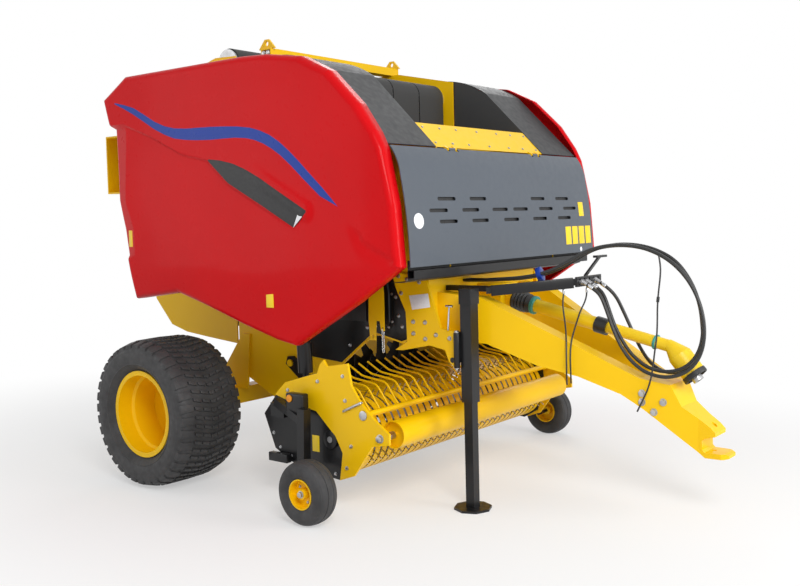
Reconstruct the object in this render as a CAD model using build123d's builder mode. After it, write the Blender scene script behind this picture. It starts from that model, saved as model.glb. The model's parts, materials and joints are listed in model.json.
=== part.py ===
from build123d import *
import math
import os

# A trailed round baler with a belt chamber, in millimetres, +X ahead to the hitch, +Y to its left.
# The origin is on the ground under the middle of its box, and "ahead" counts from the axle.

# Overall places
FRONT_REACH = 3570.0
REAR_REACH = 1150.0
AXLE_X = -(FRONT_REACH - REAR_REACH) / 2
SIDES = ((-1, "right"), (1, "left"))

# Main wheels
TYRE_R = 511.0
TYRE_HALF_W = 262.0
TRACK_HALF = 1252.0
TYRE_FACETS = 36
BLOCKS = 36
BLOCK_HALF_TURN = 3.0
BLOCK_ROOT_R = 460.0
RIM_HALF_W = 219.0
RIM_SEAT_R = 284.0
RIM_FLANGE_R = 297.5
RIM_WALL = 12.0
BEAD_HALF = RIM_HALF_W - RIM_WALL - 0.3
DISH_SEAT = 85.0
DISH_R = 250.0
HUB_R = 78.0
SPINDLE_SHORT = 45.0
SPINDLE_R = 35.0
RUNNING_FIT = 0.05
AXLE_Z = TYRE_R
AXLE_TUBE = 120.0
AXLE_TUBE_WALL = 10.0
AXLE_TUBE_HALF = 950.0

# Chamber walls and what they carry
WALL_Y = 620.0
WALL_T = 10.0
WALL_OUT = WALL_Y + WALL_T
PLATE_T = 20.0
SEAT_GAP = 0.3
BELT_T = 8.0
BELT_W = 290.0
BELT_PITCH = 303.0
BELTS = 4
BELT_ROLLER_R = 110.0
HINGE_AHEAD = 260.0
HINGE_Z = 2870.0
HINGE_PIN_R = 28.0
EAR_GAP = 6.0
EAR_T = 18.0
LAMP_WING_WIDE = 275.0
LAMP_Y = 830.0

# Outer covers
COVER_Y = 1106.0
DECK_HALF = 640.0
SHIELD_IN = 1118.0
SHIELD_DEPTH = 112.0
SHIELD_T = 8.0
LIP_R = 40.0
SCOOP_DEPTH = 46.0
SCOOP_WALL = 5.0
SLOT_LONG = 185.0
SLOT_HIGH = 22.0

# Drawbar, jack and driveline
CROSS_FRONT = 1860.0
BEAM_W = 110.0
BEAM_WALL = 8.0
BEAM_END = 3050.0
HEAD_NECK_HALF = 88.0
PIN_HOLE_R = 16.5
JACK_AHEAD = 2154.0
JACK_Y = -613.0
JACK_TUBE = 80.0
JACK_WALL = 9.0
JACK_SLIDE_GAP = 0.6
JACK_TUBE_LOW = 668.0
JACK_TUBE_HIGH = 1300.0
JACK_FOOT_R = 120.0
JACK_FOOT_T = 14.0
GUARD_R = 44.0
INNER_GUARD_R = 37.0
DRIVE_ROOT = (2100.0, 1252.0)
STUB_END = 2135.0
STUB_R = 54.0
DRIVE_BEND = (3215.0, 1002.0)
YOKE_TILT = 50.0
YOKE_R = 34.0
SPLINE_R = 17.5

# Pickup
PICKUP_Y = 1080.0
PICKUP_PLATE_T = 12.0
CHEEK_T = 16.0
REEL_AHEAD = 1420.0
REEL_Z = 440.0
BAND_R = 235.0
BAND_T = 3.0
BAND_W = 48.0
BAND_PITCH = 67.5
BANDS = 32
TINE_TIP_R = 300.0
TINE_BARS = 4
TINE_BAR_R = 165.0
REEL_SHAFT_R = 20.0
ROTOR_AHEAD = 830.0
ROTOR_Z = 680.0
ROTOR_R = 240.0
ROTOR_SHAFT_R = 45.0
ROTOR_JOURNAL_R = 30.0
PIVOT_AHEAD = 620.0
PIVOT_Z = 800.0
PIVOT_R = 25.0
ROLLER_AHEAD = 1836.0
ROLLER_Z = 497.0
ROLLER_R = 85.0
ROLLER_HALF = 985.0
GUARD_BAR_AHEAD = 1706.0
GUARD_BAR_Z = 623.0
GUARD_BAR_R = 19.0
GUARD_JOURNAL_R = 12.0
GAUGE_AHEAD = 1512.0
GAUGE_R = 195.0
GAUGE_OUT = 1486.0
GAUGE_W = 160.0
GAUGE_RIM_R = 92.0
GAUGE_AXLE_R = 14.0
GAUGE_FACETS = 24

# Rams, hinges and small fittings
RAM_Y = 715.0
RAM_BASE = (500.0, 1400.0)
RAM_EYE = (-250.0, 2700.0)
RAM_PIN_R = 22.0
RAM_R = 38.0
RAM_ROD_R = 22.0
RAM_ROD_GAP = 0.5
RAM_BARREL = 1180.0
LIFT_Y = -900.0
LIFT_BASE = (1000.0, 1300.0)
LIFT_EYE = (1020.0, 740.0)
LIFT_PIN_R = 20.0
SHIELD_HINGES = (395.0, 690.0)
SHIELD_HINGE_Y = 1124.0
SHIELD_HINGE_Z = 2862.0
SHIELD_PIN_R = 6.0
HOOD_HINGE_AHEAD = 1964.5
HOOD_HINGE_Z = 2236.0
HOOD_PIN_R = 5.0
HOOD_KNUCKLE_Y = 500.0
PIN_AHEAD = 3462.0
YOKE_BELL_R = 72.0
RACK_SLOTS = (-116, -58, 0, 58, 116)
REEL_DISCS = (-1060, -350, 350, 1060)
FINGERS = 24
FINGER_PITCH = 90.0
FINGER_R = 7.0
HANG_Y = -720.0
HANG_T = 6.0
LINK_LONG = 34.0
LINK_WIDE = 22.0
LINK_WIRE = 6.0
LINK_THICK = 5.0
LINK_PITCH = 21.7
LINKS = 7
HOSE_R = 11.0
CABLE_R = 5.0


def ahead(distance):
    """The X of a place that is this far ahead of the axle."""
    return AXLE_X + distance


def outline(points):
    """Side-view points, each (ahead of the axle, height), as the XZ sketch plane takes them."""
    return [(ahead(x), z) for x, z in points]


def upright(y):
    """A sketch plane across the machine at y, which grows to the right when extruded."""
    return Plane.XZ.offset(-y)


def wheel_plane():
    """The plane through the axle line in which a wheel's section is drawn, Y across and Z up."""
    return Plane(origin=(AXLE_X, 0, 0), x_dir=(0, 1, 0), z_dir=(1, 0, 0))


def bar(start, end, wide, deep):
    """Adds a straight bar of rectangular section between two points to the part being built."""
    run = Vector(*end) - Vector(*start)
    with BuildSketch(Plane(origin=start, x_dir=run.cross(Vector(0, 0, 1)), z_dir=run)) as section:
        Rectangle(wide, deep)
    extrude(section.sketch, amount=run.length)


def rod(start, end, radius):
    """Adds a straight round rod between two points to the part being built."""
    run = Vector(*end) - Vector(*start)
    with BuildSketch(Plane(origin=start, z_dir=run)) as section:
        Circle(radius)
    extrude(section.sketch, amount=run.length)


def facet_band(x, z, start, end, facets, mode=Mode.ADD):
    """Adds or cuts one frustum of a faceted wheel between two ends, each given as (y, radius)."""
    ends = []
    for y, radius in (start, end):
        with BuildSketch(upright(y)) as face:
            with Locations((x, z)):
                RegularPolygon(radius, facets)
        ends.append(face.sketch.face())
    loft(ends, ruled=True, mode=mode)


def cord(name, route, radius):
    """Sweeps a cord along a route of corners, its bends as wide as their runs allow, and saves it."""
    points = [Vector(ahead(x), y, z) for x, y, z in route]
    bends = []
    for before, corner, after in zip(points, points[1:], points[2:]):
        turn = math.radians((corner - before).get_angle(after - corner))
        bends.append(0.45 * min((corner - before).length, (after - corner).length) / math.tan(turn / 2))
    with BuildPart() as tube:
        with BuildLine() as line:
            FilletPolyline(*points, radius=bends)
        with BuildSketch(Plane(line.line ^ 0)) as section:
            Circle(radius)
        sweep(section.sketch, path=line.line)
    tube.part.label = name
    export_step(tube.part, f"parts/{name}.step")
    print(name, "bend radii", [round(bend) for bend in bends])


def belt_row(rollers):
    """The belts side by side, each one loop laid round a chain of rollers given in side view."""
    with BuildPart() as belt:
        with BuildSketch(upright(0)) as loop:
            for start, end in zip(rollers, rollers[1:]):
                with BuildSketch(mode=Mode.PRIVATE) as rounds:
                    with Locations(*outline((start, end))):
                        Circle(BELT_ROLLER_R)
                add(make_hull(rounds.sketch.edges(), mode=Mode.PRIVATE))
            offset(amount=-BELT_T, mode=Mode.SUBTRACT)
        extrude(loop.sketch, amount=BELT_W / 2, both=True)
    middle = (BELTS - 1) / 2
    with BuildPart() as row:
        add([Location((0, BELT_PITCH * (k - middle), 0)) * belt.part for k in range(BELTS)])
    return row.part


os.makedirs("parts", exist_ok=True)

# Main wheels: the tyre is a row of faceted bands with rows of blocks round it, on a deep rim
SIDE_BANDS = ((140, 500), (200, 490), (246, 462), (TYRE_HALF_W, 418))
TYRE_BANDS = (*[(-t, r) for t, r in reversed(SIDE_BANDS)], *SIDE_BANDS)
SIDE_HOLLOW = ((BEAD_HALF, RIM_FLANGE_R + 1), (242, 345), (TYRE_HALF_W + 1, 404))
# Each row of blocks is (from, to, radius, share of a pitch that it is turned)
BLOCK_ROWS = ((-240, -150, 502, 0), (-95, 95, TYRE_R, 0.5), (150, 240, 502, 0))
tyre_bore = RIM_SEAT_R / math.cos(math.pi / TYRE_FACETS)
pitch = 360 / BLOCKS
with BuildPart() as tyre:
    for start, end in zip(TYRE_BANDS, TYRE_BANDS[1:]):
        ends = [(t - TRACK_HALF, r) for t, r in (start, end)]
        facet_band(AXLE_X, AXLE_Z, *ends, TYRE_FACETS)
    for low, high, radius, share in BLOCK_ROWS:
        corners = [
            (r * math.cos(math.radians(a)), r * math.sin(math.radians(a)))
            for k in range(BLOCKS)
            for r, a in (
                (BLOCK_ROOT_R, pitch * (k + share) - BLOCK_HALF_TURN),
                (radius, pitch * (k + share) - BLOCK_HALF_TURN),
                (radius, pitch * (k + share) + BLOCK_HALF_TURN),
                (BLOCK_ROOT_R, pitch * (k + share) + BLOCK_HALF_TURN),
            )
        ]
        with BuildSketch(upright(low - TRACK_HALF)) as blocks:
            with Locations((AXLE_X, AXLE_Z)):
                Polygon(*corners, align=None)
        extrude(blocks.sketch, amount=low - high)
    for face in (-1, 1):
        for start, end in zip(SIDE_HOLLOW, SIDE_HOLLOW[1:]):
            ends = [(face * t - TRACK_HALF, r) for t, r in (start, end)]
            facet_band(AXLE_X, AXLE_Z, *ends, TYRE_FACETS, mode=Mode.SUBTRACT)
    bore = [(t - TRACK_HALF, tyre_bore) for t in (-BEAD_HALF - 1, BEAD_HALF + 1)]
    facet_band(AXLE_X, AXLE_Z, *bore, TYRE_FACETS, mode=Mode.SUBTRACT)

# The rim's section counts outward from the wheel's middle plane, as (outward, radius)
RIM_SECTION = (
    (RIM_HALF_W, RIM_FLANGE_R),
    (RIM_HALF_W - RIM_WALL, RIM_FLANGE_R),
    (RIM_HALF_W - RIM_WALL, RIM_SEAT_R - SEAT_GAP),
    (-RIM_HALF_W + RIM_WALL, RIM_SEAT_R - SEAT_GAP),
    (-RIM_HALF_W + RIM_WALL, RIM_FLANGE_R),
    (-RIM_HALF_W, RIM_FLANGE_R),
    (-RIM_HALF_W, RIM_SEAT_R - RIM_WALL),
    (-DISH_SEAT, RIM_SEAT_R - RIM_WALL),
    (-DISH_SEAT, HUB_R),
    (-150, HUB_R),
    (-150, SPINDLE_R + RUNNING_FIT),
    (-30, SPINDLE_R + RUNNING_FIT),
    (-30, 0),
    (-8, 0),
    (-12, HUB_R - 18),
    (-DISH_SEAT + 19, HUB_R),
    (-DISH_SEAT + 14, 130),
    (-DISH_SEAT + 14, DISH_R),
    (95, DISH_R),
    (110, DISH_R + 16),
    (RIM_HALF_W, DISH_R + 16),
)
with BuildPart() as rim:
    with BuildSketch(wheel_plane()):
        Polygon(*[(-TRACK_HALF - t, AXLE_Z + r) for t, r in RIM_SECTION], align=None)
    revolve(axis=Axis((AXLE_X, 0, AXLE_Z), (0, 1, 0)))
for solid, name in ((tyre.part, "tyre"), (rim.part, "rim")):
    left = mirror(solid, about=Plane.XZ)
    for shape, hand in ((solid, "right"), (left, "left")):
        shape.label = f"{name}_{hand}"
        export_step(shape, f"parts/{name}_{hand}.step")

# The axle: a square tube with a spindle at each end and brackets up to the chamber walls
with BuildPart() as axle_beam:
    with BuildSketch(upright(AXLE_TUBE_HALF)):
        with Locations((AXLE_X, AXLE_Z)):
            Rectangle(AXLE_TUBE, AXLE_TUBE)
            Rectangle(AXLE_TUBE - 2 * AXLE_TUBE_WALL, AXLE_TUBE - 2 * AXLE_TUBE_WALL, mode=Mode.SUBTRACT)
    extrude(amount=2 * AXLE_TUBE_HALF)
    for side, hand in SIDES:
        with BuildSketch(upright(side * AXLE_TUBE_HALF)):
            with Locations((AXLE_X, AXLE_Z)):
                Rectangle(AXLE_TUBE + 20, AXLE_TUBE + 20)
        extrude(amount=-side * 12)
        spindle_end = (AXLE_X, side * (TRACK_HALF - SPINDLE_SHORT), AXLE_Z)
        rod((AXLE_X, side * AXLE_TUBE_HALF, AXLE_Z), spindle_end, SPINDLE_R)
        with BuildSketch(upright(side * WALL_OUT)):
            Polygon(
                *outline([(-60, AXLE_Z + 60), (150, AXLE_Z + 60), (190, 980), (110, 980), (-110, 700)]),
                align=None,
            )
        extrude(amount=-side * 15)
axle_beam.part.label = "axle_beam"
export_step(axle_beam.part, "parts/axle_beam.step")

# The two fixed chamber walls
WALL_OUTLINE = (
    (60, 700),
    (60, 2800),
    (300, 2955),
    (640, 2955),
    (1170, 2842),
    (1170, 2400),
    (1784, 2400),
    (1945, 2239),
    (2030, 1900),
    (2030, 1450),
    (1735, 1440),
    (1730, 1060),
    (1640, 1000),
    (1400, 1050),
    (1100, 820),
    (1060, 450),
    (600, 450),
)
with BuildPart() as side_frames:
    with BuildSketch(upright(-WALL_Y)):
        Polygon(*outline(WALL_OUTLINE), align=None)
        with Locations((ahead(ROTOR_AHEAD), ROTOR_Z)):
            Circle(ROTOR_JOURNAL_R + RUNNING_FIT, mode=Mode.SUBTRACT)
    extrude(amount=WALL_T)
    mirror(about=Plane.XZ)
side_frames.part.label = "side_frames"
export_step(side_frames.part, "parts/side_frames.step")

# The pins and bosses on the walls' outer faces: (ahead, height, radius, how far out from the middle)
WALL_PINS = (
    (HINGE_AHEAD, HINGE_Z, HINGE_PIN_R, WALL_OUT + 36),
    (PIVOT_AHEAD, PIVOT_Z, PIVOT_R, WALL_OUT + 34),
    (*RAM_BASE, RAM_PIN_R + 12, RAM_Y - RAM_R - 4),
    (*RAM_BASE, RAM_PIN_R, RAM_Y + 26),
)
LIFT_PINS = (
    (*LIFT_BASE, LIFT_PIN_R + 14, -LIFT_Y - 42),
    (*LIFT_BASE, LIFT_PIN_R, -LIFT_Y + 26),
)
with BuildPart() as wall_pins:
    for x, z, radius, out in WALL_PINS:
        rod((ahead(x), -WALL_OUT, z), (ahead(x), -out, z), radius)
    mirror(about=Plane.XZ)
    for x, z, radius, out in LIFT_PINS:
        rod((ahead(x), -WALL_OUT, z), (ahead(x), -out, z), radius)
wall_pins.part.label = "wall_pins"
export_step(wall_pins.part, "parts/wall_pins.step")

# The thick front plates outside the walls, with an arched throat and a lug ahead
FRONT_PLATE = (
    (1575, 1470),
    (1840, 1430),
    (1862, 1395),
    (1920, 1230),
    (1960, 1117),
    (2090, 1100),
    (2090, 925),
    (2055, 885),
    (2020, 915),
    (1990, 985),
    (1870, 1005),
    (1650, 960),
    (1590, 960),
    (1690, 1020),
    (1683, 1210),
    (1605, 1362),
)
# The hanger on the right wall ends in two drilled prongs, its holes given as (ahead, height, radius)
HANGER = (
    (1440, 1485),
    (1550, 1485),
    (1562, 1335),
    (1562, 1088),
    (1534, 1088),
    (1524, 1150),
    (1494, 1150),
    (1486, 1022),
    (1440, 1022),
    (1430, 1150),
)
HANGER_HOLES = ((1463, 1048, 11), (1548, 1106, 6))
with BuildPart() as front_plates:
    with BuildSketch(upright(-WALL_OUT)):
        Polygon(*outline(FRONT_PLATE), align=None)
        with Locations((ahead(2052), 925)):
            Circle(12, mode=Mode.SUBTRACT)
    extrude(amount=PLATE_T)
    mirror(about=Plane.XZ)
    with BuildSketch(upright(HANG_Y + HANG_T / 2)) as hanger:
        Polygon(*outline(HANGER), align=None)
        for x, z, radius in HANGER_HOLES:
            with Locations((ahead(x), z)):
                Circle(radius, mode=Mode.SUBTRACT)
    extrude(hanger.sketch, amount=HANG_T)
    arm_out = -HANG_Y - HANG_T / 2
    with Locations((ahead(1495), -(WALL_OUT + arm_out) / 2, 1465)):
        Box(60, arm_out - WALL_OUT, 36)
front_plates.part.label = "front_plates"
export_step(front_plates.part, "parts/front_plates.step")

# The cross member between the front plates, a deep box
with BuildPart() as crossmember:
    with BuildSketch(upright(-WALL_OUT)):
        with Locations((ahead(CROSS_FRONT - 60), 1270)):
            Rectangle(120, 300)
            Rectangle(104, 284, mode=Mode.SUBTRACT)
    extrude(amount=-2 * WALL_OUT)
crossmember.part.label = "crossmember"
export_step(crossmember.part, "parts/crossmember.step")

# A dark bar under the hood
with BuildPart() as front_bar:
    with BuildSketch(upright(-1050)):
        with Locations((ahead(2030 + 25), 1480)):
            Rectangle(50, 50)
            Rectangle(40, 40, mode=Mode.SUBTRACT)
    extrude(amount=-2100)
front_bar.part.label = "front_bar"
export_step(front_bar.part, "parts/front_bar.step")

# The top beam with its two lifting eyes
with BuildPart() as top_beam:
    with BuildSketch(upright(-700)):
        with Locations((ahead(520), 2985)):
            Rectangle(100, 60)
            Rectangle(84, 44, mode=Mode.SUBTRACT)
    extrude(amount=-1400)
    with BuildSketch(upright(-690)):
        Polygon(*outline([(440, 3015), (600, 3015), (540, 3080), (500, 3080)]), align=None)
        with Locations((ahead(520), 3050)):
            Circle(17, mode=Mode.SUBTRACT)
    extrude(amount=-15)
    with BuildSketch(upright(675)):
        Polygon(*outline([(440, 3015), (600, 3015), (540, 3080), (500, 3080)]), align=None)
        with Locations((ahead(520), 3050)):
            Circle(17, mode=Mode.SUBTRACT)
    extrude(amount=-15)
top_beam.part.label = "top_beam"
export_step(top_beam.part, "parts/top_beam.step")

# The sloping deck plate above the hood, on the walls' sloping edges
DECK_SECTION = (
    (1936, 2248),
    (1944, 2248),
    (1780.5, 2411.5),
    (1700, 2411.5),
    (1700, 2400),
    (1784, 2400),
)
HOOD_LUG = ((1930, 2254), (1938, 2260), (1968, 2244), (1973, 2236), (1968, 2228), (1958, 2230))
with BuildPart() as deck_plate:
    with BuildSketch(upright(-DECK_HALF)):
        Polygon(
            *outline(DECK_SECTION),
            align=None,
        )
    extrude(amount=-2 * DECK_HALF)
    for side, hand in SIDES:
        for y in (side * HOOD_KNUCKLE_Y - 48, side * HOOD_KNUCKLE_Y + 38):
            with BuildSketch(upright(y)) as lug:
                Polygon(*outline(HOOD_LUG), align=None)
            extrude(lug.sketch, amount=-10)
        rod(
            (ahead(HOOD_HINGE_AHEAD), side * HOOD_KNUCKLE_Y - 48, HOOD_HINGE_Z),
            (ahead(HOOD_HINGE_AHEAD), side * HOOD_KNUCKLE_Y + 48, HOOD_HINGE_Z),
            HOOD_PIN_R,
        )
deck_plate.part.label = "deck_plate"
export_step(deck_plate.part, "parts/deck_plate.step")

# The dark caps over the top front corners, one bent sheet a side with a web inside it
CAP_WEB = (
    (1165, 2842),
    (1298, 2810),
    (1457, 2729),
    (1947, 2248),
    (1785, 2402),
    (1165, 2402),
)
with BuildPart() as caps:
    with BuildSketch(upright(-DECK_HALF)):
        with BuildLine():
            Line((ahead(750), 2862), (ahead(1080), 2858))
            ThreePointArc((ahead(1080), 2858), (ahead(1300), 2813), (ahead(1460), 2732))
            Line((ahead(1460), 2732), (ahead(1950), 2250))
            Line((ahead(1950), 2250), (ahead(1946), 2246))
            Line((ahead(1946), 2246), (ahead(1457), 2727))
            ThreePointArc((ahead(1457), 2727), (ahead(1298), 2807), (ahead(1080), 2852))
            Line((ahead(1080), 2852), (ahead(750), 2856))
            Line((ahead(750), 2856), (ahead(750), 2862))
        make_face()
    extrude(amount=COVER_Y - DECK_HALF)
    with BuildSketch(upright(-DECK_HALF - SEAT_GAP)) as web:
        Polygon(*outline(CAP_WEB), align=None)
    extrude(web.sketch, amount=6)
    mirror(about=Plane.XZ)
caps.part.label = "caps"
export_step(caps.part, "parts/caps.step")

# The dark case of the roller drive on the right wall, a shallow dished cover
DRIVE_CASE = (
    (1372, 1130),
    (1412, 1090),
    (1540, 1090),
    (1572, 1130),
    (1572, 1330),
    (1550, 1440),
    (1410, 1440),
    (1372, 1400),
)
with BuildPart() as drive_case:
    with BuildSketch(upright(-WALL_OUT)):
        Polygon(*outline(DRIVE_CASE), align=None)
    extrude(amount=8)
    with BuildSketch(upright(-WALL_OUT - 8)) as cover:
        Polygon(*outline(DRIVE_CASE), align=None)
        offset(amount=-22, kind=Kind.INTERSECTION)
    extrude(cover.sketch, amount=16)
    chamfer(drive_case.faces().sort_by(Axis.Y)[0].edges(), 6)
drive_case.part.label = "drive_case"
export_step(drive_case.part, "parts/drive_case.step")

# The holding chain that hangs from the hanger's front prong, its links turned by quarters
with BuildPart() as link:
    with BuildSketch(Plane.XZ.offset(-LINK_THICK / 2)):
        Polygon(
            *[(s * LINK_WIDE / 2, t * 9) for s, t in ((-1, -1), (-1, 1))],
            *[(s * LINK_WIDE / 4, LINK_LONG / 2) for s in (-1, 1)],
            *[(s * LINK_WIDE / 2, t * 9) for s, t in ((1, 1), (1, -1))],
            *[(s * LINK_WIDE / 4, -LINK_LONG / 2) for s in (1, -1)],
            align=None,
        )
        offset(amount=-LINK_WIRE, kind=Kind.INTERSECTION, mode=Mode.SUBTRACT)
    extrude(amount=LINK_THICK)
with BuildPart() as holding_chain:
    for k in range(LINKS):
        place = Location((ahead(1548), HANG_Y, 1107.5 - LINK_LONG / 2 - LINK_PITCH * k))
        add(place * Location((0, 0, 0), (0, 0, 90 * (k + 1))) * link.part)
holding_chain.part.label = "holding_chain"
export_step(holding_chain.part, "parts/holding_chain.step")

# The chamber belts of the fixed half, four side by side round three rollers
FRONT_ROLLERS = ((400, 2790), (980, 2720), (980, 1600))
front_belts = belt_row(FRONT_ROLLERS)
front_belts.label = "front_belts"
export_step(front_belts, "parts/front_belts.step")

with BuildPart() as front_rollers:
    for x, z in outline(FRONT_ROLLERS):
        rod((x, -WALL_Y, z), (x, WALL_Y, z), BELT_ROLLER_R - BELT_T - SEAT_GAP)
front_rollers.part.label = "front_rollers"
export_step(front_rollers.part, "parts/front_rollers.step")

# The tailgate: two walls, their hinge ears, cross tubes and the wings for the lamps
GATE_OUTLINE = (
    (40, 900),
    (40, 2820),
    (160, 2920),
    (120, 3020),
    (-100, 3030),
    (-500, 2930),
    (-870, 2620),
    (-1060, 2050),
    (-1050, 1500),
    (-920, 1200),
    (-735, 1005),
    (-550, 955),
    (-300, 930),
)
GATE_EAR_PACKER = ((30, 2825), (100, 2880), (60, 3000), (-120, 3000), (-220, 2700))
GATE_EAR = (
    (300, 2810),
    (320, 2890),
    (270, 2930),
    (60, 3000),
    (-120, 3000),
    (-300, 2740),
    (-290, 2650),
    (-210, 2650),
    (-100, 2740),
)
LAMP_WING = (
    (-940, 2050),
    (-1120, 2050),
    (-1120, 2500),
    (-900, 2500),
    (-900, 2488),
    (-1108, 2488),
    (-1108, 2062),
    (-940, 2062),
)
GATE_TUBES = ((-1030, 1700, 22), (-560, 2830, 32))
GATE_ROLLERS = ((20, 2980), (-780, 2420), (-900, 1560), (-380, 1080))
with BuildPart() as tailgate_frame:
    with BuildSketch(upright(-WALL_Y)):
        Polygon(*outline(GATE_OUTLINE), align=None)
    extrude(amount=WALL_T)
    with BuildSketch(upright(-WALL_OUT)):
        Polygon(*outline(GATE_EAR_PACKER), align=None)
    extrude(amount=EAR_GAP)
    with BuildSketch(upright(-WALL_OUT - EAR_GAP)):
        Polygon(*outline(GATE_EAR), align=None)
        with Locations((ahead(HINGE_AHEAD), HINGE_Z)):
            Circle(HINGE_PIN_R + RUNNING_FIT, mode=Mode.SUBTRACT)
    extrude(amount=EAR_T)
    with BuildSketch(upright(-WALL_OUT)):
        Polygon(*outline(LAMP_WING), align=None)
    extrude(amount=LAMP_WING_WIDE)
    mirror(about=Plane.XZ)
    for x, z, radius in GATE_TUBES:
        rod((ahead(x), -WALL_Y, z), (ahead(x), WALL_Y, z), radius)
tailgate_frame.part.label = "tailgate_frame"
export_step(tailgate_frame.part, "parts/tailgate_frame.step")

tailgate_belts = belt_row(GATE_ROLLERS)
tailgate_belts.label = "tailgate_belts"
export_step(tailgate_belts, "parts/tailgate_belts.step")

with BuildPart() as tailgate_rollers:
    for x, z in outline(GATE_ROLLERS):
        rod((x, -WALL_Y, z), (x, WALL_Y, z), BELT_ROLLER_R - BELT_T - SEAT_GAP)
tailgate_rollers.part.label = "tailgate_rollers"
export_step(tailgate_rollers.part, "parts/tailgate_rollers.step")

# Lamps on the tailgate's wings, plain housings facing back
with BuildPart() as tailgate_lamps:
    with BuildSketch(Plane(origin=(ahead(-1120), 0, 0), x_dir=(0, -1, 0), z_dir=(-1, 0, 0))):
        with Locations((LAMP_Y, 2300), (-LAMP_Y, 2300)):
            RectangleRounded(110, 260, 20)
    extrude(amount=30)
tailgate_lamps.part.label = "tailgate_lamps"
export_step(tailgate_lamps.part, "parts/tailgate_lamps.step")

# The tailgate rams: a barrel on a pin of the wall and a rod with its eye beside the tailgate
ram_run = Vector(ahead(RAM_EYE[0]) - ahead(RAM_BASE[0]), 0, RAM_EYE[1] - RAM_BASE[1])
ram_dir = ram_run.normalized()
for side, hand in SIDES:
    y = side * RAM_Y
    base = Vector(ahead(RAM_BASE[0]), y, RAM_BASE[1])
    eye = Vector(ahead(RAM_EYE[0]), y, RAM_EYE[1])
    with BuildPart() as ram_barrel:
        rod(base + ram_dir * (RAM_PIN_R + 8), base + ram_dir * RAM_BARREL, RAM_R)
        rod(base - Vector(0, 20, 0), base + Vector(0, 20, 0), RAM_PIN_R + 18)
        with BuildSketch(upright(y - 25)) as pin_hole:
            with Locations((base.X, base.Z)):
                Circle(RAM_PIN_R + RUNNING_FIT)
        extrude(pin_hole.sketch, amount=-50, mode=Mode.SUBTRACT)
        with BuildSketch(Plane(origin=base + ram_dir * RAM_BARREL, z_dir=ram_dir)) as bore:
            Circle(RAM_ROD_R + RAM_ROD_GAP)
        extrude(bore.sketch, amount=-(RAM_BARREL - 130), mode=Mode.SUBTRACT)
    ram_barrel.part.label = f"ram_barrel_{hand}"
    export_step(ram_barrel.part, f"parts/ram_barrel_{hand}.step")

    with BuildPart() as ram_rod:
        rod(base + ram_dir * 700, eye - ram_dir * 20, RAM_ROD_R)
        rod(eye - Vector(0, 18, 0), eye + Vector(0, 18, 0), RAM_PIN_R + 18)
        rod(eye, (eye.X, side * (WALL_OUT + EAR_GAP + EAR_T + 2), eye.Z), RAM_PIN_R)
    ram_rod.part.label = f"ram_rod_{hand}"
    export_step(ram_rod.part, f"parts/ram_rod_{hand}.step")

# The red side shields: deep pressed shells that hinge at the top
SHIELD_OUTLINE = (
    (-690, 2725),
    (-425, 2872),
    (800, 2872),
    (1040, 2860),
    (1340, 2814),
    (1575, 2702),
    (1802, 2487),
    (1930, 2310),
    (1975, 2220),
    (1995, 2140),
    (2050, 1890),
    (2080, 1530),
    (1750, 1320),
    (1219, 1025),
    (1058, 1052),
    (760, 1132),
    (364, 1254),
    (100, 1327),
    (-386, 1268),
    (-442, 1514),
    (-555, 1990),
    (-600, 2500),
)
# The scoop's opening in side view, pointed at its rear
SCOOP = (
    (497, 2225),
    (616, 2211),
    (742, 2184),
    (865, 2140),
    (1003, 2079),
    (1157, 1996),
    (1400, 1866),
    (1285, 1770),
    (1015, 1909),
    (694, 2067),
)
# The rear edge's slope in plan, as (ahead, in from the shield's face)
REAR_SLOPE = ((-415, 0), (-415, -10), (-720, -10), (-720, 62))
# Each hollow step is (inset, depth)
SHIELD_HOLLOWS = (
    (SHIELD_T, SHIELD_DEPTH - LIP_R - 4),
    (SHIELD_T + 10, SHIELD_DEPTH - 22),
    (SHIELD_T + 30, SHIELD_DEPTH - SHIELD_T),
)
REAR_SLOPE_LOW = 1560.0
REAR_SLOPE_HIGH = 2522.0
with BuildPart() as rear_slope:
    with BuildSketch(Plane.XY.offset(REAR_SLOPE_LOW)):
        Polygon(*[(ahead(x), t - SHIELD_IN - SHIELD_DEPTH) for x, t in REAR_SLOPE], align=None)
    extrude(amount=REAR_SLOPE_HIGH - REAR_SLOPE_LOW)
with BuildPart() as slope_backing:
    add(Location((0, SHIELD_T, 0)) * rear_slope.part)
    with BuildSketch(upright(-SHIELD_IN)) as within:
        Polygon(*outline(SHIELD_OUTLINE), align=None)
    extrude(within.sketch, amount=SHIELD_DEPTH - SHIELD_T, mode=Mode.INTERSECT)
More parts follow.
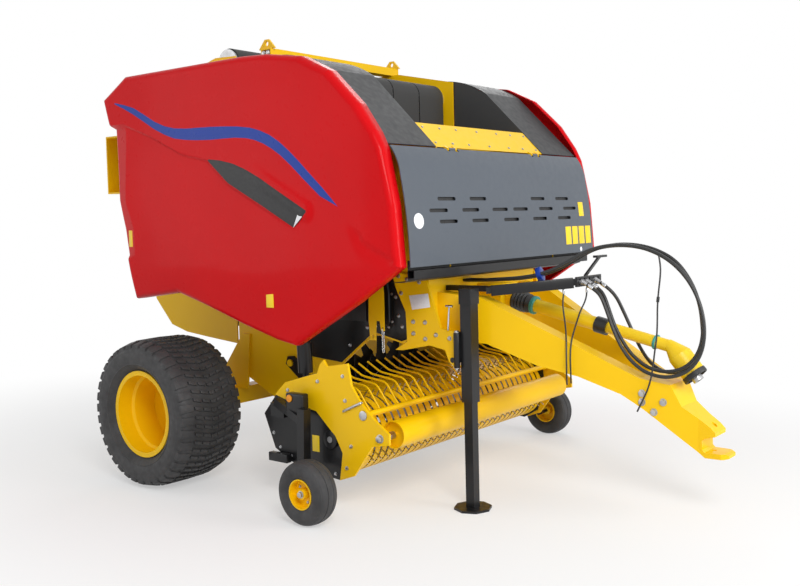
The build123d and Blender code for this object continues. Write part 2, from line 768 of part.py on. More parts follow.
with BuildPart() as shield:
    with BuildSketch(upright(-SHIELD_IN)):
        Polygon(*outline(SHIELD_OUTLINE), align=None)
    extrude(amount=SHIELD_DEPTH)
    fillet(shield.faces().sort_by(Axis.Y)[0].edges(), LIP_R)
    for inset, depth in SHIELD_HOLLOWS:
        with BuildSketch(upright(-SHIELD_IN)) as hollow:
            Polygon(*outline(SHIELD_OUTLINE), align=None)
            offset(amount=-inset, kind=Kind.INTERSECTION)
        extrude(hollow.sketch, amount=depth, mode=Mode.SUBTRACT)
    add(slope_backing.part)
    add(rear_slope.part, mode=Mode.SUBTRACT)
    with BuildSketch(upright(-SHIELD_IN - SHIELD_DEPTH + 4)) as tub:
        Polygon(*outline(SCOOP), align=None)
        offset(amount=SCOOP_WALL, kind=Kind.INTERSECTION)
    extrude(tub.sketch, amount=-SCOOP_DEPTH - SCOOP_WALL)
    with BuildSketch(upright(-SHIELD_IN - SHIELD_DEPTH)) as pocket:
        Polygon(*outline(SCOOP), align=None)
    extrude(pocket.sketch, amount=-SCOOP_DEPTH - 4, mode=Mode.SUBTRACT)
    for x in SHIELD_HINGES:
        with Locations((ahead(x), -SHIELD_IN, SHIELD_HINGE_Z)):
            Box(150, 40, 50, mode=Mode.SUBTRACT)
        barrel_end = (ahead(x) + 30, -SHIELD_HINGE_Y, SHIELD_HINGE_Z)
        rod((ahead(x) - 30, -SHIELD_HINGE_Y, SHIELD_HINGE_Z), barrel_end, 12)
        with Locations((ahead(x), -SHIELD_HINGE_Y - 35, SHIELD_HINGE_Z - 2)):
            Box(60, 64, 12)
        with BuildSketch(Plane.YZ.offset(ahead(x) - 40)) as hole:
            with Locations((-SHIELD_HINGE_Y, SHIELD_HINGE_Z)):
                Circle(SHIELD_PIN_R + RUNNING_FIT)
        extrude(hole.sketch, amount=80, mode=Mode.SUBTRACT)
shield_left = mirror(shield.part, about=Plane.XZ)
shield.part.label = "shield_right"
export_step(shield.part, "parts/shield_right.step")
shield_left.label = "shield_left"
export_step(shield_left, "parts/shield_left.step")

# The outriggers from the chamber walls that carry the shields' hinge pins
with BuildPart() as shield_hinges:
    for x in SHIELD_HINGES:
        bar((ahead(x), -WALL_OUT, 2790), (ahead(x), -SHIELD_HINGE_Y + 31, 2790), 84, 30)
        for dx in (-42, 34):
            with BuildSketch(Plane.YZ.offset(ahead(x) + dx)) as cheek:
                Polygon(
                    (-SHIELD_HINGE_Y + 60, 2775),
                    (-SHIELD_HINGE_Y + 31, 2775),
                    (-SHIELD_HINGE_Y - 9, SHIELD_HINGE_Z - 8),
                    (-SHIELD_HINGE_Y - 9, SHIELD_HINGE_Z + 8),
                    (-SHIELD_HINGE_Y + 12, SHIELD_HINGE_Z + 10),
                    align=None,
                )
            extrude(cheek.sketch, amount=8)
        pin_end = (ahead(x) + 42, -SHIELD_HINGE_Y, SHIELD_HINGE_Z)
        rod((ahead(x) - 42, -SHIELD_HINGE_Y, SHIELD_HINGE_Z), pin_end, SHIELD_PIN_R)
    mirror(about=Plane.XZ)
shield_hinges.part.label = "shield_hinges"
export_step(shield_hinges.part, "parts/shield_hinges.step")

# The dark hood across the front, bent once and pierced by three rows of slots
SLOT_ROWS = (
    (1923, (-700, -365, 365, 700)),
    (1853, (-795, -460, -125, 125, 460, 795)),
    (1785, (-705, -365, 0, 365, 705)),
)
with BuildPart() as hood:
    with BuildSketch(upright(-COVER_Y)):
        with BuildLine():
            ThreePointArc((ahead(1967), 2238), (ahead(2013), 2167), (ahead(2042), 2066))
            ThreePointArc((ahead(2042), 2066), (ahead(2080), 1830), (ahead(2100), 1526))
            Line((ahead(2100), 1526), (ahead(2094), 1526))
            ThreePointArc((ahead(2094), 1526), (ahead(2074), 1829), (ahead(2036), 2064))
            ThreePointArc((ahead(2036), 2064), (ahead(2008), 2163), (ahead(1962), 2234))
            Line((ahead(1962), 2234), (ahead(1967), 2238))
        make_face()
    extrude(amount=-2 * COVER_Y)
    for z, row in SLOT_ROWS:
        with BuildSketch(Plane(origin=(ahead(2000), 0, 0), x_dir=(0, 1, 0), z_dir=(1, 0, 0))) as slots:
            with Locations(*[(y, z) for y in row]):
                SlotOverall(SLOT_LONG, SLOT_HIGH)
        extrude(slots.sketch, amount=150, mode=Mode.SUBTRACT)
    for side, hand in SIDES:
        with Locations((ahead(HOOD_HINGE_AHEAD), side * HOOD_KNUCKLE_Y, HOOD_HINGE_Z)):
            Box(32, 120, 32, mode=Mode.SUBTRACT)
        with BuildSketch(upright(side * HOOD_KNUCKLE_Y + 30)) as knuckle:
            with Locations((ahead(HOOD_HINGE_AHEAD), HOOD_HINGE_Z)):
                Circle(HOOD_PIN_R + 4)
            Polygon(*outline([(1966, 2238), (1959, 2233), (1984, 2196), (1990, 2200)]), align=None)
            with Locations((ahead(HOOD_HINGE_AHEAD), HOOD_HINGE_Z)):
                Circle(HOOD_PIN_R + RUNNING_FIT, mode=Mode.SUBTRACT)
        extrude(knuckle.sketch, amount=60)
hood.part.label = "hood"
export_step(hood.part, "parts/hood.step")

# The drawbar: two tapered box beams that meet behind the hitch head
BEAM_SIDE_VIEW = (
    (CROSS_FRONT, 1335),
    (2130, 1302),
    (3080, 830),
    (3130, 800),
    (3130, 626),
    (2970, 730),
    (2725, 826),
    (2480, 884),
    (2170, 1010),
    (CROSS_FRONT, 1040),
)
BEAM_HOLLOW = (
    (1850, 1327),
    (2128, 1293),
    (3042, 840),
    (3042, 701),
    (2973, 740),
    (2728, 835),
    (2484, 893),
    (2174, 1019),
    (1850, 1050),
)


def beam_outer(x):
    """How far the drawbar's outer face stands from the middle at this place ahead of the axle."""
    return 500 - (x - 2000) * 410 / 1400


with BuildPart() as beam_hollow:
    with BuildSketch(upright(0)):
        Polygon(*outline(BEAM_HOLLOW), align=None)
    extrude(amount=700)
    with BuildSketch(Plane.XY.offset(500)):
        Polygon(
            (ahead(1850), BEAM_WALL - beam_outer(1850)),
            (ahead(BEAM_END - BEAM_WALL), BEAM_WALL - beam_outer(BEAM_END - BEAM_WALL)),
            (ahead(BEAM_END - BEAM_WALL), BEAM_W - BEAM_WALL - beam_outer(BEAM_END - BEAM_WALL)),
            (ahead(1850), BEAM_W - BEAM_WALL - beam_outer(1850)),
            align=None,
        )
    extrude(amount=1000, mode=Mode.INTERSECT)
with BuildPart() as drawbar_beams:
    with BuildSketch(upright(0)):
        Polygon(*outline(BEAM_SIDE_VIEW), align=None)
    extrude(amount=700)
    with BuildSketch(Plane.XY.offset(500)):
        Polygon(
            (ahead(CROSS_FRONT), -beam_outer(CROSS_FRONT)),
            (ahead(BEAM_END), -beam_outer(BEAM_END)),
            (ahead(BEAM_END), BEAM_W - beam_outer(BEAM_END)),
            (ahead(CROSS_FRONT), BEAM_W - beam_outer(CROSS_FRONT)),
            align=None,
        )
    extrude(amount=1000, mode=Mode.INTERSECT)
    add(beam_hollow.part, mode=Mode.SUBTRACT)
    mirror(about=Plane.XZ)
drawbar_beams.part.label = "drawbar_beams"
export_step(drawbar_beams.part, "parts/drawbar_beams.step")

# The hitch head: a forged nose with a jaw, bolted between the beams' ends
HEAD_SIDE_VIEW = (
    (BEAM_END, 845),
    (3080, 830),
    (3250, 797),
    (3310, 671),
    (3470, 560),
    (3500, 530),
    (3500, 508),
    (3432, 492),
    (3420, 478),
    (3420, 424),
    (3436, 410),
    (3545, 410),
    (FRONT_REACH, 402),
    (FRONT_REACH, 384),
    (3545, 378),
    (3437, 378),
    (3105, 640),
    (BEAM_END, 678),
)
with BuildPart() as hitch_head:
    with BuildSketch(upright(-250)):
        Polygon(*outline(HEAD_SIDE_VIEW), align=None)
    extrude(amount=-500)
    with BuildSketch(Plane.XY.offset(300)):
        Polygon(
            (ahead(BEAM_END), -beam_outer(BEAM_END)),
            (ahead(3290), -beam_outer(3290)),
            (ahead(3400), -HEAD_NECK_HALF),
            (ahead(3530), -HEAD_NECK_HALF + 8),
            (ahead(FRONT_REACH), -HEAD_NECK_HALF + 38),
            (ahead(FRONT_REACH), HEAD_NECK_HALF - 38),
            (ahead(3530), HEAD_NECK_HALF - 8),
            (ahead(3400), HEAD_NECK_HALF),
            (ahead(3290), beam_outer(3290)),
            (ahead(BEAM_END), beam_outer(BEAM_END)),
            align=None,
        )
    extrude(amount=800, mode=Mode.INTERSECT)
    with BuildSketch(Plane.XY.offset(300)):
        with Locations((ahead(PIN_AHEAD), 0)):
            Circle(PIN_HOLE_R)
    extrude(amount=400, mode=Mode.SUBTRACT)
hitch_head.part.label = "hitch_head"
export_step(hitch_head.part, "parts/hitch_head.step")

# The gearbox on the cross member's front
with BuildPart() as gearbox:
    with Locations((ahead(CROSS_FRONT + 100), 0, 1240)):
        Box(200, 230, 240)
    chamfer(gearbox.edges().filter_by(Axis.X), 30)
    rod((ahead(CROSS_FRONT + 200), 0, DRIVE_ROOT[1]), (ahead(STUB_END), 0, DRIVE_ROOT[1]), STUB_R)
gearbox.part.label = "gearbox"
export_step(gearbox.part, "parts/gearbox.step")

# The driveline: bellows at its root, the guard's two tubes with a collar between, and the bell
drive_root = Vector(ahead(DRIVE_ROOT[0]), 0, DRIVE_ROOT[1])
drive_bend = Vector(ahead(DRIVE_BEND[0]), 0, DRIVE_BEND[1])
drive_run = drive_bend - drive_root
drive_dir = drive_run.normalized()
yoke_dir = Vector(math.cos(math.radians(YOKE_TILT)), 0, -math.sin(math.radians(YOKE_TILT)))
# The bellows' section along the driveline, as (distance, radius)
BELLOWS = (
    (0, 66),
    (14, 72),
    (26, 62),
    (38, 72),
    (50, 60),
    (62, 70),
    (74, 58),
    (86, 68),
    (98, 56),
    (110, 64),
    (140, 54),
)
drive_plane = Plane(origin=drive_root, x_dir=drive_dir, z_dir=Vector(0, -1, 0))
with BuildPart() as driveline_seals:
    with BuildSketch(drive_plane):
        Polygon((0, 0), *BELLOWS, (140, 0), align=None)
    revolve(axis=Axis(drive_root, drive_dir))
    with BuildSketch(Plane.YZ.offset(ahead(DRIVE_ROOT[0] - 20))) as socket:
        with Locations((0, DRIVE_ROOT[1])):
            Circle(STUB_R + SEAT_GAP)
    extrude(socket.sketch, amount=STUB_END - DRIVE_ROOT[0] + 21, mode=Mode.SUBTRACT)
    rod(drive_root + drive_dir * 620, drive_root + drive_dir * 700, GUARD_R + 8)
    with BuildSketch(Plane(origin=drive_root + drive_dir * 600, z_dir=drive_dir)) as wide_bore:
        Circle(GUARD_R + SEAT_GAP)
    extrude(wide_bore.sketch, amount=40 + SEAT_GAP, mode=Mode.SUBTRACT)
    with BuildSketch(Plane(origin=drive_root + drive_dir * 630, z_dir=drive_dir)) as slim_bore:
        Circle(INNER_GUARD_R + SEAT_GAP)
    extrude(slim_bore.sketch, amount=80, mode=Mode.SUBTRACT)
driveline_seals.part.label = "driveline_seals"
export_step(driveline_seals.part, "parts/driveline_seals.step")

with BuildPart() as driveline_guard:
    rod(drive_root + drive_dir * 140, drive_root + drive_dir * 640, GUARD_R)
    rod(drive_root + drive_dir * 640, drive_bend, INNER_GUARD_R)
    with BuildSketch(Plane(origin=drive_bend - drive_dir * 30, z_dir=drive_dir)) as small:
        Circle(INNER_GUARD_R + 4)
    with BuildSketch(Plane(origin=drive_bend + yoke_dir * 60, z_dir=yoke_dir)) as large:
        Circle(YOKE_BELL_R)
    loft([small.sketch.face(), large.sketch.face()])
    rod(drive_bend + yoke_dir * 60, drive_bend + yoke_dir * 215, YOKE_BELL_R)
    with BuildSketch(Plane(origin=drive_bend + yoke_dir * 215, z_dir=yoke_dir)) as mouth:
        Circle(YOKE_BELL_R - 6)
    extrude(mouth.sketch, amount=-150, mode=Mode.SUBTRACT)
    rod(drive_bend + yoke_dir * 40, drive_bend + yoke_dir * 120, 14)
driveline_guard.part.label = "driveline_guard"
export_step(driveline_guard.part, "parts/driveline_guard.step")

# The yoke that turns in the bell, with its splined bore
with BuildPart() as driveline_yoke:
    rod(drive_bend + yoke_dir * 90, drive_bend + yoke_dir * 245, YOKE_R)
    with BuildSketch(Plane(origin=drive_bend + yoke_dir * 245, z_dir=yoke_dir)) as spline:
        Circle(SPLINE_R)
    extrude(spline.sketch, amount=-80, mode=Mode.SUBTRACT)
    with BuildSketch(Plane(origin=drive_bend + yoke_dir * 90, z_dir=yoke_dir)) as spigot:
        Circle(14 + RUNNING_FIT)
    extrude(spigot.sketch, amount=31, mode=Mode.SUBTRACT)
driveline_yoke.part.label = "driveline_yoke"
export_step(driveline_yoke.part, "parts/driveline_yoke.step")

# The jack: a square tube held to the front plate, and the leg that slides in it
with BuildPart() as jack_tube:
    with BuildSketch(Plane.XY.offset(JACK_TUBE_LOW)):
        with Locations((ahead(JACK_AHEAD), JACK_Y)):
            Rectangle(JACK_TUBE, JACK_TUBE)
            Rectangle(JACK_TUBE - 2 * JACK_WALL, JACK_TUBE - 2 * JACK_WALL, mode=Mode.SUBTRACT)
    extrude(amount=JACK_TUBE_HIGH - JACK_TUBE_LOW)
    with BuildSketch(Plane.XY.offset(JACK_TUBE_HIGH - 24)):
        with Locations((ahead(JACK_AHEAD), JACK_Y)):
            RectangleRounded(JACK_TUBE + 16, JACK_TUBE + 16, 10)
    extrude(amount=95)
    with Locations((ahead(JACK_AHEAD - JACK_TUBE / 2 - 12), JACK_Y - 27, 1010)):
        Box(24, 26, 190)
jack_tube.part.label = "jack_tube"
export_step(jack_tube.part, "parts/jack_tube.step")

jack_leg_side = JACK_TUBE - 2 * JACK_WALL - 2 * JACK_SLIDE_GAP
with BuildPart() as jack_leg:
    with BuildSketch(Plane.XY):
        with Locations((ahead(JACK_AHEAD), JACK_Y)):
            RegularPolygon(JACK_FOOT_R, 8)
    extrude(amount=JACK_FOOT_T)
    with BuildSketch(Plane.XY.offset(JACK_FOOT_T)):
        with Locations((ahead(JACK_AHEAD), JACK_Y)):
            Rectangle(jack_leg_side, jack_leg_side)
            Rectangle(jack_leg_side - 12, jack_leg_side - 12, mode=Mode.SUBTRACT)
    extrude(amount=800)
jack_leg.part.label = "jack_leg"
export_step(jack_leg.part, "parts/jack_leg.step")

# The hose arm: a bent bar from the cross member, the coupler rack and the guide above it
with BuildPart() as hose_arm:
    bar((ahead(CROSS_FRONT), -430, 1356), (ahead(2190), -430, 1356), 40, 34)
    bar((ahead(2170), -445, 1346), (ahead(2650), -150, 1392), 40, 40)
    with Locations((ahead(2660), -20, 1392)):
        Box(14, 320, 62)
        with Locations(*[(0, y, 0) for y in RACK_SLOTS]):
            Box(14, 20, 40, mode=Mode.SUBTRACT)
    bar((ahead(2660), -60, 1424), (ahead(2760), -60, 1545), 30, 12)
    with Locations((ahead(2765), -60, 1548)):
        Box(30, 130, 14)
hose_arm.part.label = "hose_arm"
export_step(hose_arm.part, "parts/hose_arm.step")

# The couplers that end the hoses at the rack, each a collar ahead of it and a neck in its slot
COUPLER_FACE = 2667.0
COUPLER_YS = (-136, -78, 38)
COUPLER_Z = 1392.0
with BuildPart() as hose_couplers:
    for y in COUPLER_YS:
        rod((ahead(COUPLER_FACE - 14), y, COUPLER_Z), (ahead(COUPLER_FACE), y, COUPLER_Z), 9)
        rod((ahead(COUPLER_FACE), y, COUPLER_Z), (ahead(COUPLER_FACE + 20), y, COUPLER_Z), 16)
        rod((ahead(2680.1), y, 1396.1), (ahead(2714.5), y, 1375.7), HOSE_R + 2)
hose_couplers.part.label = "hose_couplers"
export_step(hose_couplers.part, "parts/hose_couplers.step")

# Hoses and cables, each by the corners of its route as (ahead, y, height)
HOSE_1 = (
    (1860, -250, 1392), (1990, -250, 1392), (2120, -256, 1400), (2250, -252, 1408),
    (2380, -236, 1426), (2500, -205, 1462), (2605, -165, 1520), (2700, -125, 1582), (2822, -97, 1616),
    (2962, -88, 1620), (3110, -92, 1592), (3250, -102, 1524), (3365, -118, 1415), (3440, -136, 1280),
    (3472, -152, 1130), (3452, -165, 990), (3378, -176, 892), (3264, -182, 846), (3130, -184, 860),
    (3022, -178, 926), (2944, -166, 1020), (2888, -152, 1125), (2848, -144, 1222), (2810, -138, 1305),
    (2770, -136, 1342.8), (2714.5, -136, 1375.7),
)
HOSE_2 = (
    (1860, -219, 1392), (1990, -219, 1392), (2120, -225, 1403), (2250, -221, 1411),
    (2380, -205, 1429), (2500, -174, 1465), (2605, -134, 1523), (2700, -94, 1582), (2819, -67, 1612),
    (2959, -58, 1616), (3107, -62, 1588), (3247, -72, 1520), (3358, -83, 1409), (3423, -101, 1277),
    (3449, -117, 1137), (3430, -130, 1008), (3362, -141, 917), (3257, -147, 874), (3132, -149, 884),
    (3029, -143, 942), (2951, -131, 1026), (2888, -117, 1125), (2848, -109, 1222), (2810, -95, 1305),
    (2770, -78, 1342.8), (2714.5, -78, 1375.7),
)
HOSE_3 = (
    (1860, -188, 1392), (1990, -188, 1392), (2120, -194, 1397), (2250, -190, 1405),
    (2380, -174, 1423), (2500, -143, 1459), (2605, -103, 1517), (2700, -63, 1582), (2826, -37, 1619),
    (2966, -28, 1623), (3114, -32, 1595), (3254, -42, 1527), (3353, -56, 1404), (3410, -74, 1275),
    (3432, -90, 1143), (3440, -108, 1010), (3372, -116, 915), (3278, -106, 866), (3172, -66, 862),
    (3076, -6, 890), (2994, 54, 944), (2932, 86, 1020), (2886, 92, 1110), (2846, 84, 1200),
    (2815, 60, 1285), (2770, 38, 1342.8), (2714.5, 38, 1375.7),
)
CABLE_LONG = (
    (3176, -113, 1556), (3194, -128, 1500), (3196, -140, 1430), (3190, -152, 1350), (3188, -166, 1262),
    (3194, -181, 1172), (3197, -198, 1082), (3190, -215, 998), (3186, -228, 918), (3174, -233, 840),
    (3148, -234, 765), (3114, -233, 698), (3084, -230, 640),
)
CABLE_NEAR_1 = (
    (2660, -40, 1361), (2660, -40, 1322), (2664, -66, 1270), (2670, -148, 1212), (2673, -194, 1156),
    (2680, -248, 1102), (2690, -300, 1048), (2698, -331, 986), (2702, -340, 918), (2703, -338, 852),
    (2702, -334, 790),
)
CABLE_NEAR_2 = (
    (2580, -193, 1364.6), (2580, -193, 1322), (2586, -219, 1262), (2603, -238, 1204), (2626, -262, 1146),
    (2648, -292, 1090), (2668, -324, 1034), (2679, -345, 972), (2683, -354, 906), (2683, -353, 840),
    (2682, -349, 782),
)
for name, route in (("hose_1", HOSE_1), ("hose_2", HOSE_2), ("hose_3", HOSE_3)):
    cord(name, route, HOSE_R)
CABLES = (("cable_long", CABLE_LONG), ("cable_near_1", CABLE_NEAR_1), ("cable_near_2", CABLE_NEAR_2))
for name, route in CABLES:
    cord(name, route, CABLE_R)

# Pickup: dark end plates, a cross tube and arms back to the pivots
END_PLATE = (
    (815, 540),
    (945, 690),
    (1040, 770),
    (1330, 855),
    (1560, 860),
    (1590, 790),
    (1640, 690),
    (1665, 470),
    (1600, 260),
    (1480, 190),
    (1150, 215),
    (1030, 260),
    (910, 320),
)
PICKUP_ARM = (
    (570, 790),
    (590, 845),
    (645, 850),
    (740, 780),
    (1075, 330),
    (1120, 250),
    (1060, 220),
    (1020, 270),
    (690, 700),
)
LIFT_STUB_END = LIFT_Y - 20
with BuildPart() as pickup_frame:
    with BuildSketch(upright(-PICKUP_Y)):
        Polygon(*outline(END_PLATE), align=None)
        with Locations((ahead(REEL_AHEAD), REEL_Z)):
            Circle(REEL_SHAFT_R + RUNNING_FIT, mode=Mode.SUBTRACT)
    extrude(amount=PICKUP_PLATE_T)
    with BuildSketch(upright(-WALL_OUT - EAR_GAP)):
        Polygon(*outline(PICKUP_ARM), align=None)
        with Locations((ahead(PIVOT_AHEAD), PIVOT_Z)):
            Circle(PIVOT_R + RUNNING_FIT, mode=Mode.SUBTRACT)
    extrude(amount=16)
    mirror(about=Plane.XZ)
    rod((ahead(1075), -PICKUP_Y, 275), (ahead(1075), PICKUP_Y, 275), 38)
    stub_x, stub_z = outline([LIFT_EYE])[0]
    rod((stub_x, -PICKUP_Y, stub_z), (stub_x, LIFT_STUB_END, stub_z), LIFT_PIN_R)
pickup_frame.part.label = "pickup_frame"
export_step(pickup_frame.part, "parts/pickup_frame.step")

# The yellow cheeks outside them, one each side, and the roller's and guard's bearings in them
CHEEK = (
    (939, 680),
    (1036, 768),
    (1327, 851),
    (1350, 905),
    (1383, 938),
    (1410, 900),
    (1585, 931),
    (1613, 795),
    (1690, 692),
    (1800, 600),
    (1905, 530),
    (1905, 465),
    (1771, 440),
    (1617, 237),
    (1498, 194),
    (1526, 368),
    (1471, 465),
    (1308, 608),
    (1100, 640),
)
with BuildPart() as cheeks:
    with BuildSketch(upright(-PICKUP_Y - PICKUP_PLATE_T)):
        Polygon(*outline(CHEEK), align=None)
        with Locations((ahead(ROLLER_AHEAD), ROLLER_Z)):
            Circle(14 + RUNNING_FIT, mode=Mode.SUBTRACT)
        with Locations((ahead(GUARD_BAR_AHEAD), GUARD_BAR_Z)):
            Circle(GUARD_JOURNAL_R + RUNNING_FIT, mode=Mode.SUBTRACT)
    extrude(amount=CHEEK_T)
    mirror(about=Plane.XZ)
cheeks.part.label = "pickup_cheeks"
export_step(cheeks.part, "parts/pickup_cheeks.step")

# The stripper bands, bent round the reel between two cross angles
band_top = REEL_Z + BAND_R
band_low = REEL_Z - BAND_R
with BuildPart() as band:
    with BuildSketch(upright(BAND_W / 2)):
        with BuildLine():
            Line((ahead(1110), band_top), (ahead(REEL_AHEAD), band_top))
            ThreePointArc(
                (ahead(REEL_AHEAD), band_top),
                (ahead(REEL_AHEAD + BAND_R), REEL_Z),
                (ahead(REEL_AHEAD), band_low),
            )
            Line((ahead(REEL_AHEAD), band_low), (ahead(1150), band_low))
            Line((ahead(1150), band_low), (ahead(1150), band_low + BAND_T))
            Line((ahead(1150), band_low + BAND_T), (ahead(REEL_AHEAD), band_low + BAND_T))
            ThreePointArc(
                (ahead(REEL_AHEAD), band_low + BAND_T),
                (ahead(REEL_AHEAD + BAND_R - BAND_T), REEL_Z),
                (ahead(REEL_AHEAD), band_top - BAND_T),
            )
            Line((ahead(REEL_AHEAD), band_top - BAND_T), (ahead(1110), band_top - BAND_T))
            Line((ahead(1110), band_top - BAND_T), (ahead(1110), band_top))
        make_face()
    extrude(amount=BAND_W)
with BuildPart() as stripper_bands:
    add([Location((0, BAND_PITCH * (k - (BANDS - 1) / 2), 0)) * band.part for k in range(BANDS)])
    for x, z in ((1111, band_top - BAND_T - 10), (1151, band_low + BAND_T + 10)):
        with Locations((ahead(x), 0, z)):
            Box(6, 2 * PICKUP_Y, 26)
stripper_bands.part.label = "stripper_bands"
export_step(stripper_bands.part, "parts/stripper_bands.step")

# The tined reel: shaft, end discs, four bars and their hooked tines, which pass between the bands
TINE = (
    (-5, TINE_BAR_R),
    (5, TINE_BAR_R),
    (4, 260),
    (16, TINE_TIP_R - 1),
    (9, TINE_TIP_R),
    (-4, 262),
)
with BuildPart() as tine_bar:
    with BuildSketch(upright(PICKUP_Y - 20)):
        with Locations((0, TINE_BAR_R)):
            Rectangle(24, 18)
    extrude(amount=2 * (PICKUP_Y - 20))
    for k in range(BANDS - 1):
        y = BAND_PITCH * (k - (BANDS - 2) / 2)
        with BuildSketch(upright(y + 3.5)) as tine:
            Polygon(*TINE, align=None)
        extrude(tine.sketch, amount=7)
with BuildPart() as tine_reel:
    reel_place = Location((ahead(REEL_AHEAD), 0, REEL_Z))
    turns = [Location((0, 0, 0), (0, 360 / TINE_BARS * k + 20, 0)) for k in range(TINE_BARS)]
    add([reel_place * turn * tine_bar.part for turn in turns])
    shaft_end = PICKUP_Y + 30
    rod((ahead(REEL_AHEAD), -shaft_end, REEL_Z), (ahead(REEL_AHEAD), shaft_end, REEL_Z), REEL_SHAFT_R)
    for y in REEL_DISCS:
        rod((ahead(REEL_AHEAD), y - 4, REEL_Z), (ahead(REEL_AHEAD), y + 4, REEL_Z), TINE_BAR_R + 14)
tine_reel.part.label = "tine_reel"
export_step(tine_reel.part, "parts/tine_reel.step")

# The feed rotor between the walls: a shaft with pairs of star plates
with BuildPart() as star:
    with BuildSketch(upright(4)):
        Polygon(
            *[
                (r * math.cos(math.radians(a)), r * math.sin(math.radians(a)))
                for turn in (0, 120, 240)
                for r, a in ((95, turn - 40), (ROTOR_R, turn - 4), (ROTOR_R, turn + 4), (110, turn + 22))
            ],
            align=None,
        )
    extrude(amount=8)
rotor_place = Location((ahead(ROTOR_AHEAD), 0, ROTOR_Z))
with BuildPart() as feed_rotor:
    rod((ahead(ROTOR_AHEAD), -WALL_Y + 5, ROTOR_Z), (ahead(ROTOR_AHEAD), WALL_Y - 5, ROTOR_Z), ROTOR_SHAFT_R)
    rod((ahead(ROTOR_AHEAD), -WALL_OUT, ROTOR_Z), (ahead(ROTOR_AHEAD), WALL_OUT, ROTOR_Z), ROTOR_JOURNAL_R)
    add([rotor_place * Location((0, 100 * (k - 5), 0), (0, 24 * k, 0)) * star.part for k in range(11)])
feed_rotor.part.label = "feed_rotor"
export_step(feed_rotor.part, "parts/feed_rotor.step")

# The wind guard: a bar on bearings in the cheeks, and the long curved fingers over the reel
with BuildPart() as wind_guard:
    rod(
        (ahead(GUARD_BAR_AHEAD), -PICKUP_Y - PICKUP_PLATE_T + 2, GUARD_BAR_Z),
        (ahead(GUARD_BAR_AHEAD), PICKUP_Y + PICKUP_PLATE_T - 2, GUARD_BAR_Z),
        GUARD_BAR_R,
    )
    rod(
        (ahead(GUARD_BAR_AHEAD), -PICKUP_Y - PICKUP_PLATE_T - CHEEK_T, GUARD_BAR_Z),
        (ahead(GUARD_BAR_AHEAD), PICKUP_Y + PICKUP_PLATE_T + CHEEK_T, GUARD_BAR_Z),
        GUARD_JOURNAL_R,
    )
wind_guard.part.label = "wind_guard"
export_step(wind_guard.part, "parts/wind_guard.step")

with BuildPart() as guard_fingers:
    for k in range(FINGERS):
        y = FINGER_PITCH * (k - (FINGERS - 1) / 2)
        with BuildLine() as finger_line:
            FilletPolyline(
                (ahead(GUARD_BAR_AHEAD) - 10, y, GUARD_BAR_Z + 12),
                (ahead(1600), y, 765),
                (ahead(1400), y, 790),
                (ahead(1290), y, 850),
                radius=(70, 120),
            )
        with BuildSketch(Plane(finger_line.line ^ 0)) as finger_section:
            RegularPolygon(FINGER_R, 6)
        sweep(finger_section.sketch, path=finger_line.line)
    with BuildSketch(upright(-PICKUP_Y)) as bar_seat:
        with Locations((ahead(GUARD_BAR_AHEAD), GUARD_BAR_Z)):
            Circle(GUARD_BAR_R + SEAT_GAP)
    extrude(bar_seat.sketch, amount=-2 * PICKUP_Y, mode=Mode.SUBTRACT)
guard_fingers.part.label = "guard_fingers"
export_step(guard_fingers.part, "parts/guard_fingers.step")

# The crop roller ahead of the reel, on journals in the cheeks
with BuildPart() as crop_roller:
    rod((ahead(ROLLER_AHEAD), -ROLLER_HALF, ROLLER_Z), (ahead(ROLLER_AHEAD), ROLLER_HALF, ROLLER_Z), ROLLER_R)
    with BuildSketch(upright(-ROLLER_HALF - 1)) as end_recess:
        with Locations((ahead(ROLLER_AHEAD), ROLLER_Z)):
            Circle(ROLLER_R - 6)
    extrude(end_recess.sketch, amount=-30, mode=Mode.SUBTRACT)
    with BuildSketch(upright(ROLLER_HALF + 1)) as end_recess:
        with Locations((ahead(ROLLER_AHEAD), ROLLER_Z)):
            Circle(ROLLER_R - 6)
    extrude(end_recess.sketch, amount=30, mode=Mode.SUBTRACT)
    rod(
        (ahead(ROLLER_AHEAD), -PICKUP_Y - PICKUP_PLATE_T - CHEEK_T, ROLLER_Z),
        (ahead(ROLLER_AHEAD), PICKUP_Y + PICKUP_PLATE_T + CHEEK_T, ROLLER_Z),
        14,
    )
crop_roller.part.label = "crop_roller"
export_step(crop_roller.part, "parts/crop_roller.step")

# The gauge legs: a clamp block on each end plate, an upright tube and an arm ahead to the wheel
LEG_Y = PICKUP_Y + PICKUP_PLATE_T + CHEEK_T + 40
with BuildPart() as gauge_legs:
    with Locations((ahead(1000), -(PICKUP_Y + PICKUP_PLATE_T + 30), 590)):
        Box(120, 60, 90)
    bar((ahead(1010), -LEG_Y - 10, 650), (ahead(1290), -LEG_Y - 60, 560), 50, 50)
    bar((ahead(1300), -LEG_Y - 60, 640), (ahead(1285), -LEG_Y - 60, 250), 60, 60)
    bar((ahead(1270), -LEG_Y - 100, 262), (ahead(GAUGE_AHEAD + 20), -LEG_Y - 100, GAUGE_R), 60, 22)
    axle_end = (ahead(GAUGE_AHEAD), -GAUGE_OUT + 12, GAUGE_R)
    rod((ahead(GAUGE_AHEAD), -LEG_Y - 90, GAUGE_R), axle_end, GAUGE_AXLE_R)
    mirror(about=Plane.XZ)
gauge_legs.part.label = "gauge_legs"
export_step(gauge_legs.part, "parts/gauge_legs.step")

